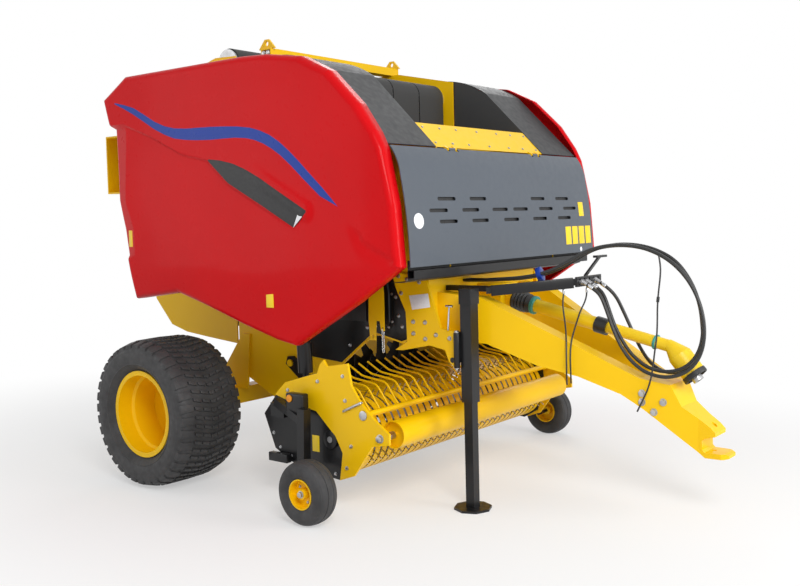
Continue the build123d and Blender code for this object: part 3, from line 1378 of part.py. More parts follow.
# The gauge wheels: a plain tyre on a small rim each side, their sections as (outward, radius)
gauge_mid = GAUGE_OUT - GAUGE_W / 2
GAUGE_BANDS = ((-80, 140), (-70, 171), (-40, 189), (0, GAUGE_R), (40, 189), (70, 171), (80, 140))
GAUGE_HOLLOW = ((66, GAUGE_RIM_R + 2), (81, 137))
GAUGE_RIM_SECTION = (
    (-66, GAUGE_RIM_R - SEAT_GAP),
    (-66, GAUGE_RIM_R - 8),
    (6, GAUGE_RIM_R - 8),
    (6, 34),
    (-40, 34),
    (-40, GAUGE_AXLE_R + RUNNING_FIT),
    (56, GAUGE_AXLE_R + RUNNING_FIT),
    (56, 30),
    (16, 34),
    (16, GAUGE_RIM_R - 8),
    (66, GAUGE_RIM_R - 8),
    (66, GAUGE_RIM_R - SEAT_GAP),
)
gauge_bore = GAUGE_RIM_R / math.cos(math.pi / GAUGE_FACETS)
gauge_x = ahead(GAUGE_AHEAD)
with BuildPart() as gauge_tyre:
    for start, end in zip(GAUGE_BANDS, GAUGE_BANDS[1:]):
        facet_band(gauge_x, GAUGE_R, *[(t - gauge_mid, r) for t, r in (start, end)], GAUGE_FACETS)
    for face in (-1, 1):
        ends = [(face * t - gauge_mid, r) for t, r in GAUGE_HOLLOW]
        facet_band(gauge_x, GAUGE_R, *ends, GAUGE_FACETS, mode=Mode.SUBTRACT)
    bore = [(t - gauge_mid, gauge_bore) for t in (-GAUGE_W / 2, GAUGE_W / 2)]
    facet_band(gauge_x, GAUGE_R, *bore, GAUGE_FACETS, mode=Mode.SUBTRACT)
with BuildPart() as gauge_rim:
    with BuildSketch(Plane(origin=(gauge_x, 0, 0), x_dir=(0, 1, 0), z_dir=(1, 0, 0))):
        Polygon(*[(-gauge_mid - t, GAUGE_R + r) for t, r in GAUGE_RIM_SECTION], align=None)
    revolve(axis=Axis((gauge_x, 0, GAUGE_R), (0, 1, 0)))
for solid, name in ((gauge_tyre.part, "gauge_tyre"), (gauge_rim.part, "gauge_rim")):
    left = mirror(solid, about=Plane.XZ)
    for shape, hand in ((solid, "right"), (left, "left")):
        shape.label = f"{name}_{hand}"
        export_step(shape, f"parts/{name}_{hand}.step")

# The pickup's lift ram on the right, from a bracket of the wall down to the end plate's stub
lift_base = Vector(ahead(LIFT_BASE[0]), LIFT_Y, LIFT_BASE[1])
lift_eye = Vector(ahead(LIFT_EYE[0]), LIFT_Y, LIFT_EYE[1])
lift_dir = (lift_eye - lift_base).normalized()
with BuildPart() as lift_barrel:
    rod(lift_base + lift_dir * 22, lift_base + lift_dir * 330, 38)
    rod(lift_base - Vector(0, 20, 0), lift_base + Vector(0, 20, 0), 36)
    with BuildSketch(upright(LIFT_Y + 25)) as pin_hole:
        with Locations((lift_base.X, lift_base.Z)):
            Circle(LIFT_PIN_R + RUNNING_FIT)
    extrude(pin_hole.sketch, amount=50, mode=Mode.SUBTRACT)
    with BuildSketch(Plane(origin=lift_base + lift_dir * 330, z_dir=lift_dir)) as bore:
        Circle(20.5)
    extrude(bore.sketch, amount=-280, mode=Mode.SUBTRACT)
lift_barrel.part.label = "lift_barrel"
export_step(lift_barrel.part, "parts/lift_barrel.step")

with BuildPart() as lift_rod:
    rod(lift_base + lift_dir * 180, lift_eye - lift_dir * 20, 20)
    rod(lift_eye - Vector(0, 18, 0), lift_eye + Vector(0, 18, 0), 34)
lift_rod.part.label = "lift_rod"
export_step(lift_rod.part, "parts/lift_rod.step")
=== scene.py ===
"""Dresses a trailed round baler: paint, rubber and steel finishes, pressed covers, hoses and fittings."""

import json
import logging
import math
from dataclasses import dataclass
from enum import Enum
from typing import Sequence

import bmesh
import bpy
from mathutils import Matrix, Vector

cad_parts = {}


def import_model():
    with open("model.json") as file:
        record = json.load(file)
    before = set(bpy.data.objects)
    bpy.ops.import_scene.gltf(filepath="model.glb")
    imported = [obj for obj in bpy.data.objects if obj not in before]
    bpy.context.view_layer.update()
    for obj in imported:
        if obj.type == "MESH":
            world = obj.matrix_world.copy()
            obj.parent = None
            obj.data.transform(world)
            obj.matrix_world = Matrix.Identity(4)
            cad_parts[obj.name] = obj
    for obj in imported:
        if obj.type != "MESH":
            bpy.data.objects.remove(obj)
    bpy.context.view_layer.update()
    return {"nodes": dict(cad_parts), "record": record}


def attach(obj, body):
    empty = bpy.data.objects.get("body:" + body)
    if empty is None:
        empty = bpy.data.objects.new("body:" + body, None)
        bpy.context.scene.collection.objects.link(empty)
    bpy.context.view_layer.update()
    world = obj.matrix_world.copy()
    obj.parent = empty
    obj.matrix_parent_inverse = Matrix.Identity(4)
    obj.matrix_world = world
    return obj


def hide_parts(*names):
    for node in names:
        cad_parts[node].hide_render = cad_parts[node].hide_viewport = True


LOG = logging.getLogger("baler")
AXLE_X = -1.21
MM = 0.001
LABEL_THICK = 2.4
LABEL_EDGE = 0.5
Colour = tuple[float, float, float]
Point = tuple[float, float, float]
Line = Sequence[tuple[float, float]]
Patch = tuple[float, float, float, float]
Block = Sequence[Patch]


class Side(Enum):
    """The two sides of the machine, by the sign of Y."""

    RIGHT = -1
    LEFT = 1

    @property
    def word(self) -> str:
        """Returns the side's name as the nodes spell it."""
        return self.name.lower()


class NodeBench:
    """Builds one material's node tree from short calls."""

    def __init__(self, name: str) -> None:
        """Starts an empty material.

        Args:
            name: The material's name.
        """
        self.material = bpy.data.materials.new(name)
        self.material.use_nodes = True
        self.tree = self.material.node_tree
        self.tree.nodes.clear()
        self.output = self.tree.nodes.new("ShaderNodeOutputMaterial")
        self.shader = self.tree.nodes.new("ShaderNodeBsdfPrincipled")
        self.tree.links.new(self.shader.outputs["BSDF"], self.output.inputs["Surface"])
        self.place = self.tree.nodes.new("ShaderNodeTexCoord")

    def link(self, source: bpy.types.NodeSocket, target: bpy.types.NodeSocket) -> None:
        """Joins two sockets."""
        self.tree.links.new(source, target)

    def noise(self, scale: float, detail: float = 3.0, stretch: Point = (1, 1, 1)) -> bpy.types.NodeSocket:
        """Adds noise on Object coordinates.

        Args:
            scale: How many features a metre holds.
            detail: How many octaves there are.
            stretch: How much each axis is multiplied.

        Returns:
            The noise's factor socket.
        """
        mapping = self.tree.nodes.new("ShaderNodeMapping")
        mapping.inputs["Scale"].default_value = stretch
        self.link(self.place.outputs["Object"], mapping.inputs["Vector"])
        node = self.tree.nodes.new("ShaderNodeTexNoise")
        node.inputs["Scale"].default_value = scale
        node.inputs["Detail"].default_value = detail
        self.link(mapping.outputs["Vector"], node.inputs["Vector"])
        return node.outputs["Fac"]

    def ramp(self, factor: bpy.types.NodeSocket, low: float, high: float) -> bpy.types.NodeSocket:
        """Maps a factor to a range of numbers.

        Args:
            factor: What is mapped, from 0 to 1.
            low: What 0.3 gives.
            high: What 0.7 gives.

        Returns:
            The mapped socket.
        """
        node = self.tree.nodes.new("ShaderNodeMapRange")
        node.inputs["From Min"].default_value = 0.3
        node.inputs["From Max"].default_value = 0.7
        node.inputs["To Min"].default_value = low
        node.inputs["To Max"].default_value = high
        self.link(factor, node.inputs["Value"])
        return node.outputs["Result"]

    def mix(self, factor: bpy.types.NodeSocket, first: Colour, second: Colour) -> bpy.types.NodeSocket:
        """Mixes two colours by a factor.

        Args:
            factor: 0 gives the first colour, 1 the second.
            first: The first colour.
            second: The second colour.

        Returns:
            The mixed colour's socket.
        """
        node = self.tree.nodes.new("ShaderNodeMix")
        node.data_type = "RGBA"
        self.link(factor, node.inputs["Factor"])
        node.inputs["A"].default_value = (*first, 1)
        node.inputs["B"].default_value = (*second, 1)
        return node.outputs["Result"]

    def tint(self, factor: bpy.types.NodeSocket, first: Colour, second: Colour) -> None:
        """Lets the base colour wander between two colours by a noise."""
        self.link(self.mix(self.ramp(factor, 0, 1), first, second), self.shader.inputs["Base Color"])

    def roughen(self, factor: bpy.types.NodeSocket, low: float, high: float) -> None:
        """Lets the roughness wander between two numbers by a noise."""
        self.link(self.ramp(factor, low, high), self.shader.inputs["Roughness"])

    def bump(self, height: bpy.types.NodeSocket, strength: float, distance: float) -> None:
        """Adds a bump to the shader's normal, over one that is already there.

        Args:
            height: The height's socket.
            strength: How strongly it shows.
            distance: How high a height of 1 stands, in metres.
        """
        node = self.tree.nodes.new("ShaderNodeBump")
        node.inputs["Strength"].default_value = strength
        node.inputs["Distance"].default_value = distance
        self.link(height, node.inputs["Height"])
        normal = self.shader.inputs["Normal"]
        if normal.is_linked:
            self.link(normal.links[0].from_socket, node.inputs["Normal"])
        self.link(node.outputs["Normal"], normal)

    def settle(self, **values: float) -> None:
        """Sets numbers on the shader's own sockets, with underscores for spaces in their names."""
        for key, value in values.items():
            self.shader.inputs[key.replace("_", " ")].default_value = value


def shade(colour: Colour, factor: float) -> Colour:
    """Returns a colour made darker or lighter by a factor."""
    return tuple(min(1.0, part * factor) for part in colour)


@dataclass(frozen=True)
class Paint:
    """A sprayed coat: slight colour drift, fine orange peel and a clear gloss."""

    name: str
    colour: Colour
    roughness: float = 0.3
    coat: float = 0.5
    peel: float = 0.02
    drift: float = 0.03
    sheen: float = 0.4

    def material(self) -> bpy.types.Material:
        """Builds the paint's nodes.

        Returns:
            The paint's material.
        """
        bench = NodeBench(self.name)
        darkest, lightest = shade(self.colour, 1 - self.drift), shade(self.colour, 1 + self.drift)
        bench.tint(bench.noise(1.7, 4), darkest, lightest)
        bench.roughen(bench.noise(23, 5), self.roughness * 0.85, self.roughness * 1.2)
        bench.bump(bench.noise(420, 2), self.peel, 0.6 * MM)
        bench.settle(Coat_Weight=self.coat, Coat_Roughness=0.08, Specular_IOR_Level=self.sheen)
        return bench.material


@dataclass(frozen=True)
class Rubber:
    """Moulded rubber: dull, slightly mottled, finely pitted."""

    name: str
    colour: Colour
    roughness: float = 0.62
    grain: float = 260.0
    pits: float = 0.25

    def material(self) -> bpy.types.Material:
        """Builds the rubber's nodes.

        Returns:
            The rubber's material.
        """
        bench = NodeBench(self.name)
        bench.tint(bench.noise(9, 5), shade(self.colour, 0.75), shade(self.colour, 1.35))
        bench.roughen(bench.noise(31, 4), self.roughness - 0.1, self.roughness + 0.12)
        bench.bump(bench.noise(self.grain, 4), self.pits, 1.2 * MM)
        bench.settle(Specular_IOR_Level=0.42)
        return bench.material


@dataclass(frozen=True)
class Metal:
    """Bare metal with brushed streaks along one axis and a few dull patches."""

    name: str
    colour: Colour
    roughness: float = 0.32
    streak: Point = (1, 40, 1)

    def material(self) -> bpy.types.Material:
        """Builds the metal's nodes.

        Returns:
            The metal's material.
        """
        bench = NodeBench(self.name)
        streaks = bench.noise(14, 4, self.streak)
        bench.tint(streaks, shade(self.colour, 0.8), self.colour)
        bench.roughen(bench.noise(17, 5), self.roughness * 0.7, self.roughness * 1.4)
        bench.bump(streaks, 0.08, 0.6 * MM)
        bench.settle(Metallic=1.0)
        return bench.material


@dataclass(frozen=True)
class Plastic:
    """Moulded plastic with a fine satin grain."""

    name: str
    colour: Colour
    roughness: float = 0.42

    def material(self) -> bpy.types.Material:
        """Builds the plastic's nodes.

        Returns:
            The plastic's material.
        """
        bench = NodeBench(self.name)
        bench.tint(bench.noise(5, 3), shade(self.colour, 0.92), shade(self.colour, 1.06))
        bench.roughen(bench.noise(60, 4), self.roughness - 0.07, self.roughness + 0.08)
        bench.bump(bench.noise(700, 2), 0.12, 0.4 * MM)
        return bench.material


class Finish(Enum):
    """Every finish on the machine."""

    COVER_RED = Paint("cover_red_paint", (0.62, 0.003, 0.006), roughness=0.3, coat=0.08, sheen=0.06)
    FRAME_YELLOW = Paint("frame_yellow_paint", (0.94, 0.57, 0.002), roughness=0.36, coat=0.1, sheen=0.2)
    HOOD_GREY = Paint("hood_grey_paint", (0.085, 0.1, 0.122), roughness=0.4, coat=0.15, sheen=0.3)
    CAP_GREY = Paint("cap_grey_paint", (0.052, 0.053, 0.055), roughness=0.5, coat=0.0, sheen=0.25)
    BLACK_PAINT = Paint("black_paint", (0.009, 0.009, 0.01), roughness=0.34, coat=0.15, sheen=0.3)
    STRIPE_BLUE = Paint("stripe_blue_film", (0.008, 0.045, 0.33), roughness=0.3, coat=0.1, sheen=0.15)
    TYRE = Rubber("tyre_rubber", (0.038, 0.0378, 0.039))
    BELT = Rubber("belt_rubber", (0.02, 0.02, 0.021), roughness=0.7, grain=120, pits=0.5)
    HOSE = Rubber("hose_rubber", (0.012, 0.012, 0.013), roughness=0.45, grain=500, pits=0.1)
    STEEL = Metal("zinc_steel", (0.55, 0.55, 0.56))
    CHROME = Metal("hard_chrome", (0.72, 0.73, 0.75), roughness=0.14)
    GUARD_YELLOW = Plastic("guard_yellow_plastic", (0.93, 0.62, 0.006))
    TEAL = Plastic("teal_plastic", (0.05, 0.32, 0.3))
    BLACK_PLASTIC = Plastic("black_plastic", (0.012, 0.012, 0.013), roughness=0.5)
    AMBER = Plastic("amber_plastic", (0.85, 0.3, 0.004), roughness=0.35)
    LAMP_RED = Plastic("lamp_red_plastic", (0.5, 0.01, 0.012), roughness=0.2)
    LABEL_YELLOW = Plastic("plate_yellow_film", (0.95, 0.66, 0.01), roughness=0.35)
    # White film for labels, and for the painted highlight at the scoop's end.
    WHITE_LABEL_AND_HIGHLIGHT = Plastic("white_film_and_highlight", (0.86, 0.87, 0.9), roughness=0.3)

    def material(self) -> bpy.types.Material:
        """Returns this finish's material, made once."""
        made = bpy.data.materials.get(self.value.name)
        return made or self.value.material()


SLOT_FINISH = {
    "cover_red": Finish.COVER_RED,
    "frame_yellow": Finish.FRAME_YELLOW,
    "hood_grey": Finish.HOOD_GREY,
    "black_metal": Finish.BLACK_PAINT,
    "tyre": Finish.TYRE,
    "belt_rubber": Finish.BELT,
    "roller_steel": Finish.STEEL,
    "rod_chrome": Finish.CHROME,
    "lamp_red": Finish.LAMP_RED,
    "guard_yellow": Finish.GUARD_YELLOW,
    "hose_rubber": Finish.HOSE,
}
OWN_FINISH = {"caps": Finish.CAP_GREY, "lift_rod": Finish.BLACK_PAINT}


def dress_nodes(frame: dict) -> None:
    """Gives each node of the frame the finish of its material slot.
    """
    slots = {entry["node"]: entry["material_slot"] for entry in frame["record"]["subparts"]}
    for name, node in frame["nodes"].items():
        node.data.materials.clear()
        node.data.materials.append(OWN_FINISH.get(name, SLOT_FINISH[slots[name]]).material())
    LOG.info("nodes: %d dressed", len(slots))


@dataclass
class Studio:
    """The camera, lights, floor and backdrop."""

    eye: Point = (4.3199, -5.3793, 1.8261)
    yaw: float = 2.225
    pitch: float = -0.0582
    roll: float = -0.023
    focal_pixels: float = 954.34
    picture: tuple[int, int] = (800, 586)
    principal: tuple[float, float] = (431.95, 270.63)
    sensor: float = 36.0
    far_clip: float = 200.0
    aim: Point = (0.0, 0.0, 1.2)
    world_soft: float = 0.42
    floor_half: float = 40.0
    floor_grey: float = 0.93
    fade_squash: Point = (0.62, 1.0, 1.0)
    fade_from: float = 1.6
    fade_to: float = 4.2
    fade_share: float = 0.45
    lamps: Sequence[tuple[str, Point, float, float]] = (
        ("key", (6.5, -5.5, 6.0), 3.0, 420.0),
        ("front", (8.0, 1.5, 3.0), 3.5, 260.0),
        ("fill", (-6.0, -7.0, 3.0), 4.0, 60.0),
        ("back", (-4.0, 7.0, 6.0), 4.0, 150.0),
    )

    def camera(self) -> None:
        """Places the camera where the photograph was taken from."""
        forward = Vector(
            (
                math.cos(self.yaw) * math.cos(self.pitch),
                math.sin(self.yaw) * math.cos(self.pitch),
                math.sin(self.pitch),
            )
        )
        level = Vector((math.sin(self.yaw), -math.cos(self.yaw), 0))
        upright = level.cross(forward)
        right = math.cos(self.roll) * level + math.sin(self.roll) * upright
        up = -math.sin(self.roll) * level + math.cos(self.roll) * upright
        data = bpy.data.cameras.new("camera")
        width, height = self.picture
        data.sensor_width = self.sensor
        data.lens = data.sensor_width * self.focal_pixels / width
        data.shift_x = (width / 2 - self.principal[0]) / width
        data.shift_y = (self.principal[1] - height / 2) / width
        data.clip_end = self.far_clip
        camera = bpy.data.objects.new("camera", data)
        turn = Matrix((right, up, -forward)).transposed().to_4x4()
        camera.matrix_world = Matrix.Translation(self.eye) @ turn
        bpy.context.collection.objects.link(camera)
        bpy.context.scene.camera = camera

    def white_for_eye(self, tree: bpy.types.NodeTree) -> bpy.types.NodeSocket:
        """Adds a factor that is 1 for rays that show the backdrop: seen, mirrored or through glass.

        Args:
            tree: The node tree of the floor or the world.

        Returns:
            The factor's socket.
        """
        path = tree.nodes.new("ShaderNodeLightPath")
        total = path.outputs["Is Camera Ray"]
        for name in ("Is Glossy Ray", "Is Transmission Ray"):
            both = tree.nodes.new("ShaderNodeMath")
            both.operation = "MAXIMUM"
            tree.links.new(total, both.inputs[0])
            tree.links.new(path.outputs[name], both.inputs[1])
            total = both.outputs["Value"]
        return total

    def light(self) -> None:
        """Adds soft area lamps and an even pale world."""
        for name, place, size, power in self.lamps:
            data = bpy.data.lights.new(name, "AREA")
            data.size = size
            data.energy = power
            lamp = bpy.data.objects.new(name, data)
            lamp.location = place
            aim = Vector(self.aim) - Vector(place)
            lamp.rotation_euler = aim.to_track_quat("-Z", "Y").to_euler()
            bpy.context.collection.objects.link(lamp)
        world = bpy.data.worlds.new("studio")
        world.use_nodes = True
        tree = world.node_tree
        tree.nodes.clear()
        output = tree.nodes.new("ShaderNodeOutputWorld")
        soft = tree.nodes.new("ShaderNodeBackground")
        soft.inputs["Color"].default_value = (1, 1, 1, 1)
        soft.inputs["Strength"].default_value = self.world_soft
        white = tree.nodes.new("ShaderNodeBackground")
        white.inputs["Color"].default_value = (1, 1, 1, 1)
        white.inputs["Strength"].default_value = 1.0
        choose = tree.nodes.new("ShaderNodeMixShader")
        tree.links.new(self.white_for_eye(tree), choose.inputs["Fac"])
        tree.links.new(soft.outputs["Background"], choose.inputs[1])
        tree.links.new(white.outputs["Background"], choose.inputs[2])
        tree.links.new(choose.outputs["Shader"], output.inputs["Surface"])
        bpy.context.scene.world = world

    def floor(self) -> None:
        """Adds the pale floor, which keeps a shadow near the machine and fades to white round it."""
        mesh = bmesh.new()
        bmesh.ops.create_grid(mesh, x_segments=1, y_segments=1, size=self.floor_half)
        data = bpy.data.meshes.new("floor")
        mesh.to_mesh(data)
        mesh.free()
        material = bpy.data.materials.new("floor_white")
        material.use_nodes = True
        tree = material.node_tree
        shader = tree.nodes["Principled BSDF"]
        shader.inputs["Base Color"].default_value = (*(self.floor_grey,) * 3, 1)
        shader.inputs["Roughness"].default_value = 0.9
        glow = tree.nodes.new("ShaderNodeEmission")
        glow.inputs["Color"].default_value = (1, 1, 1, 1)
        glow.inputs["Strength"].default_value = 1.0
        place = tree.nodes.new("ShaderNodeTexCoord")
        squash = tree.nodes.new("ShaderNodeMapping")
        squash.inputs["Scale"].default_value = self.fade_squash
        away = tree.nodes.new("ShaderNodeVectorMath")
        away.operation = "LENGTH"
        fade = tree.nodes.new("ShaderNodeMapRange")
        fade.interpolation_type = "SMOOTHSTEP"
        fade.inputs["From Min"].default_value = self.fade_from
        fade.inputs["From Max"].default_value = self.fade_to
        fade.inputs["To Min"].default_value = self.fade_share
        fade.inputs["To Max"].default_value = 1.0
        seen = tree.nodes.new("ShaderNodeMath")
        seen.operation = "MULTIPLY"
        choose = tree.nodes.new("ShaderNodeMixShader")
        output = tree.nodes["Material Output"]
        tree.links.new(place.outputs["Object"], squash.inputs["Vector"])
        tree.links.new(squash.outputs["Vector"], away.inputs[0])
        tree.links.new(away.outputs["Value"], fade.inputs["Value"])
        tree.links.new(fade.outputs["Result"], seen.inputs[0])
        tree.links.new(self.white_for_eye(tree), seen.inputs[1])
        tree.links.new(seen.outputs["Value"], choose.inputs["Fac"])
        tree.links.new(shader.outputs["BSDF"], choose.inputs[1])
        tree.links.new(glow.outputs["Emission"], choose.inputs[2])
        tree.links.new(choose.outputs["Shader"], output.inputs["Surface"])
        data.materials.append(material)
        floor = bpy.data.objects.new("floor", data)
        bpy.context.collection.objects.link(floor)

    def build(self) -> None:
        """Sets the stage up."""
        self.camera()
        self.light()
        self.floor()


@dataclass(frozen=True)
class Cord:
    """One hose or cable: a round tube on one smooth curve, in place of its node."""

    node: str
    route: Sequence[Point]
    diameter: float
    length: float
    far_end: str
    finish: Finish = Finish.HOSE

    def build(self) -> bpy.types.Object:
        """Builds the cord's curve and logs its real length.

        Returns:
            The finished object.
        """
        data = bpy.data.curves.new(f"{self.node}_line", "CURVE")
        data.dimensions = "3D"
        data.resolution_u = 10
        data.bevel_depth = self.diameter / 2
        data.bevel_resolution = 4
        data.use_fill_caps = True
        line = data.splines.new("NURBS")
        line.points.add(len(self.route) - 1)
        for point, place in zip(line.points, self.route):
            point.co = (*place, 1)
        line.order_u = 3
        line.use_endpoint_u = True
        data.materials.append(self.finish.material())
        piece = bpy.data.objects.new(f"{self.node}_line", data)
        bpy.context.collection.objects.link(piece)
        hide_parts(self.node)
        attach(piece, "frame")
        LOG.info("%s: %.3f m", piece.name, self.length)
        return piece


HOSE_1 = (
    (0.65, -0.25, 1.392), (0.78, -0.25, 1.392), (0.91, -0.256, 1.4), (1.04, -0.252, 1.408),
    (1.17, -0.236, 1.426), (1.29, -0.205, 1.462), (1.395, -0.165, 1.52), (1.49, -0.125, 1.582),
    (1.612, -0.097, 1.616), (1.752, -0.088, 1.62), (1.9, -0.092, 1.592), (2.04, -0.102, 1.524),
    (2.155, -0.118, 1.415), (2.23, -0.136, 1.28), (2.262, -0.152, 1.13), (2.242, -0.165, 0.99),
    (2.168, -0.176, 0.892), (2.054, -0.182, 0.846), (1.92, -0.184, 0.86), (1.812, -0.178, 0.926),
    (1.734, -0.166, 1.02), (1.678, -0.152, 1.125), (1.638, -0.144, 1.222), (1.6, -0.138, 1.305),
    (1.56, -0.136, 1.3428), (1.5045, -0.136, 1.3757),
)
HOSE_2 = (
    (0.65, -0.219, 1.392), (0.78, -0.219, 1.392), (0.91, -0.225, 1.403), (1.04, -0.221, 1.411),
    (1.17, -0.205, 1.429), (1.29, -0.174, 1.465), (1.395, -0.134, 1.523), (1.49, -0.094, 1.582),
    (1.609, -0.067, 1.612), (1.749, -0.058, 1.616), (1.897, -0.062, 1.588), (2.037, -0.072, 1.52),
    (2.148, -0.083, 1.409), (2.213, -0.101, 1.277), (2.239, -0.117, 1.137), (2.22, -0.13, 1.008),
    (2.152, -0.141, 0.917), (2.047, -0.147, 0.874), (1.922, -0.149, 0.884), (1.819, -0.143, 0.942),
    (1.741, -0.131, 1.026), (1.678, -0.117, 1.125), (1.638, -0.109, 1.222), (1.6, -0.095, 1.305),
    (1.56, -0.078, 1.3428), (1.5045, -0.078, 1.3757),
)
HOSE_3 = (
    (0.65, -0.188, 1.392), (0.78, -0.188, 1.392), (0.91, -0.194, 1.397), (1.04, -0.19, 1.405),
    (1.17, -0.174, 1.423), (1.29, -0.143, 1.459), (1.395, -0.103, 1.517), (1.49, -0.063, 1.582),
    (1.616, -0.037, 1.619), (1.756, -0.028, 1.623), (1.904, -0.032, 1.595), (2.044, -0.042, 1.527),
    (2.143, -0.056, 1.404), (2.2, -0.074, 1.275), (2.222, -0.09, 1.143), (2.23, -0.108, 1.01),
    (2.162, -0.116, 0.915), (2.068, -0.106, 0.866), (1.962, -0.066, 0.862), (1.866, -0.006, 0.89),
    (1.784, 0.054, 0.944), (1.722, 0.086, 1.02), (1.676, 0.092, 1.11), (1.636, 0.084, 1.2),
    (1.605, 0.06, 1.285), (1.56, 0.038, 1.3428), (1.5045, 0.038, 1.3757),
)
CABLE_LONG = (
    (1.966, -0.113, 1.556), (1.984, -0.128, 1.5), (1.986, -0.14, 1.43), (1.98, -0.152, 1.35),
    (1.978, -0.166, 1.262), (1.984, -0.181, 1.172), (1.987, -0.198, 1.082), (1.98, -0.215, 0.998),
    (1.976, -0.228, 0.918), (1.964, -0.233, 0.84), (1.938, -0.234, 0.765), (1.904, -0.233, 0.698),
    (1.874, -0.23, 0.64),
)
CABLE_NEAR_1 = (
    (1.45, -0.04, 1.361), (1.45, -0.04, 1.322), (1.454, -0.066, 1.27), (1.46, -0.148, 1.212),
    (1.463, -0.194, 1.156), (1.47, -0.248, 1.102), (1.48, -0.3, 1.048), (1.488, -0.331, 0.986),
    (1.492, -0.34, 0.918), (1.493, -0.338, 0.852), (1.492, -0.334, 0.79),
)
CABLE_NEAR_2 = (
    (1.37, -0.193, 1.3646), (1.37, -0.193, 1.322), (1.376, -0.219, 1.262), (1.393, -0.238, 1.204),
    (1.416, -0.262, 1.146), (1.438, -0.292, 1.09), (1.458, -0.324, 1.034), (1.469, -0.345, 0.972),
    (1.473, -0.354, 0.906), (1.473, -0.353, 0.84), (1.472, -0.349, 0.782),
)
CORDS = (
    Cord("hose_1", HOSE_1, 0.022, 3.13, "object"),
    Cord("hose_2", HOSE_2, 0.022, 3.052, "object"),
    Cord("hose_3", HOSE_3, 0.022, 3.132, "object"),
    Cord("cable_long", CABLE_LONG, 0.010, 0.95, "bare"),
    Cord("cable_near_1", CABLE_NEAR_1, 0.010, 0.685, "bare"),
    Cord("cable_near_2", CABLE_NEAR_2, 0.010, 0.628, "bare"),
)


def spot(forward: float, across: float, height: float) -> Vector:
    """Returns a place in metres from millimetres, the first counted ahead of the axle."""
    return Vector((AXLE_X + forward * MM, across * MM, height * MM))


def moved(x: float, y: float, z: float) -> Matrix:
    """Returns a move in metres from millimetres."""
    return Matrix.Translation((x * MM, y * MM, z * MM))


def pointing(place: Vector, axis: Vector) -> Matrix:
    """Returns the placement that lays a unit's own Z along an axis at a place."""
    return Matrix.Translation(place) @ Vector(axis).to_track_quat("Z", "Y").to_matrix().to_4x4()


def flank(side: Side, out: float) -> Matrix:
    """Finds the placement of a side view: X ahead of the axle, Y up, Z outward from a plane.

    Args:
        side: Which side of the machine it faces.
        out: How far the plane stands from the middle, in millimetres.

    Returns:
        The placement.
    """
    turn = Matrix(((1, 0, 0), (0, 0, side.value), (0, 1, 0))).to_4x4()
    return Matrix.Translation((AXLE_X, side.value * out * MM, 0)) @ turn


def on_flank(side: Side, out: float, ahead: float, height: float) -> Matrix:
    """Returns the placement at one place of a side view, in millimetres."""
    return flank(side, out) @ moved(ahead, height, 0)


def facing_ahead(forward: float) -> Matrix:
    """Returns the placement of a front view: X to the machine's left, Y up, Z ahead from a plane."""
    turn = Matrix(((0, 0, 1), (1, 0, 0), (0, 1, 0))).to_4x4()
    return Matrix.Translation((AXLE_X + forward * MM, 0, 0)) @ turn


TO_THE_RIGHT = Vector((0, -1, 0))
MIRROR = Matrix.Diagonal((1, -1, 1, 1))


class Shape:
    """Gathers units into one object whose place is in its mesh."""

    def __init__(self, name: str, sharp: float = 35.0) -> None:
        """Starts an empty piece.

        Args:
            name: The piece's name.
            sharp: The angle in degrees from which an edge stays sharp.
        """
        self.name = name
        self.sharp = sharp
        self.mesh = bmesh.new()
        self.finishes: list[Finish] = []

    def slot(self, finish: Finish) -> int:
        """Finds the number of a finish among the piece's own.

        Args:
            finish: The finish, which is added if it is new.

        Returns:
            Its number.
        """
        if finish not in self.finishes:
            self.finishes.append(finish)
        return self.finishes.index(finish)

    def add(self, unit: bmesh.types.BMesh, finish: Finish, places: Sequence[Matrix] = (Matrix(),)) -> None:
        """Adds copies of a unit at some placements and frees it.

        Args:
            unit: The unit's mesh.
            finish: What it is finished in.
            places: Its placements, mirrored ones too.
        """
        index = self.slot(finish)
        for face in unit.faces:
            face.material_index = index
        data = bpy.data.meshes.new("unit")
        unit.to_mesh(data)
        unit.free()
        for place in places:
            copy = data.copy()
            copy.transform(place)
            if place.determinant() < 0:
                copy.flip_normals()
            self.mesh.from_mesh(copy)
            bpy.data.meshes.remove(copy)
        bpy.data.meshes.remove(data)

    def place(
        self, body: str, slot: str, replaced: Sequence[str] = (), wall: float = 0.0
    ) -> bpy.types.Object:
        """Makes the object and hands it to its body.

        Args:
            body: The CAD body that it moves with.
            slot: The record's material slot; not used.
            replaced: The CAD nodes that it stands for.
            wall: The thickness that an open sheet gets behind its face, in millimetres.

        Returns:
            The finished object.
        """
        data = bpy.data.meshes.new(self.name)
        self.mesh.to_mesh(data)
        self.mesh.free()
        for finish in self.finishes:
            data.materials.append(finish.material())
        data.polygons.foreach_set("use_smooth", [True] * len(data.polygons))
        data.set_sharp_from_angle(angle=math.radians(self.sharp))
        piece = bpy.data.objects.new(self.name, data)
        bpy.context.collection.objects.link(piece)
        if wall:
            thicken = piece.modifiers.new("wall", "SOLIDIFY")
            thicken.thickness = wall * MM
            thicken.offset = -1.0
        if replaced:
            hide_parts(*replaced)
        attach(piece, body)
        LOG.info("%s: %d faces", self.name, len(data.polygons))
        return piece


def block(size: Point, edge: float = 0.0, steps: int = 2) -> bmesh.types.BMesh:
    """Makes a block round the origin.

    Args:
        size: Its three sides, in millimetres.
        edge: How far its edges are rounded, in millimetres.
        steps: How many faces a rounding has.

    Returns:
        The block.
    """
    unit = bmesh.new()
    bmesh.ops.create_cube(unit, size=1.0)
    bmesh.ops.scale(unit, vec=Vector(size) * MM, verts=unit.verts)
    if edge:
        round_off(unit, unit.edges[:], edge, steps)
    return unit


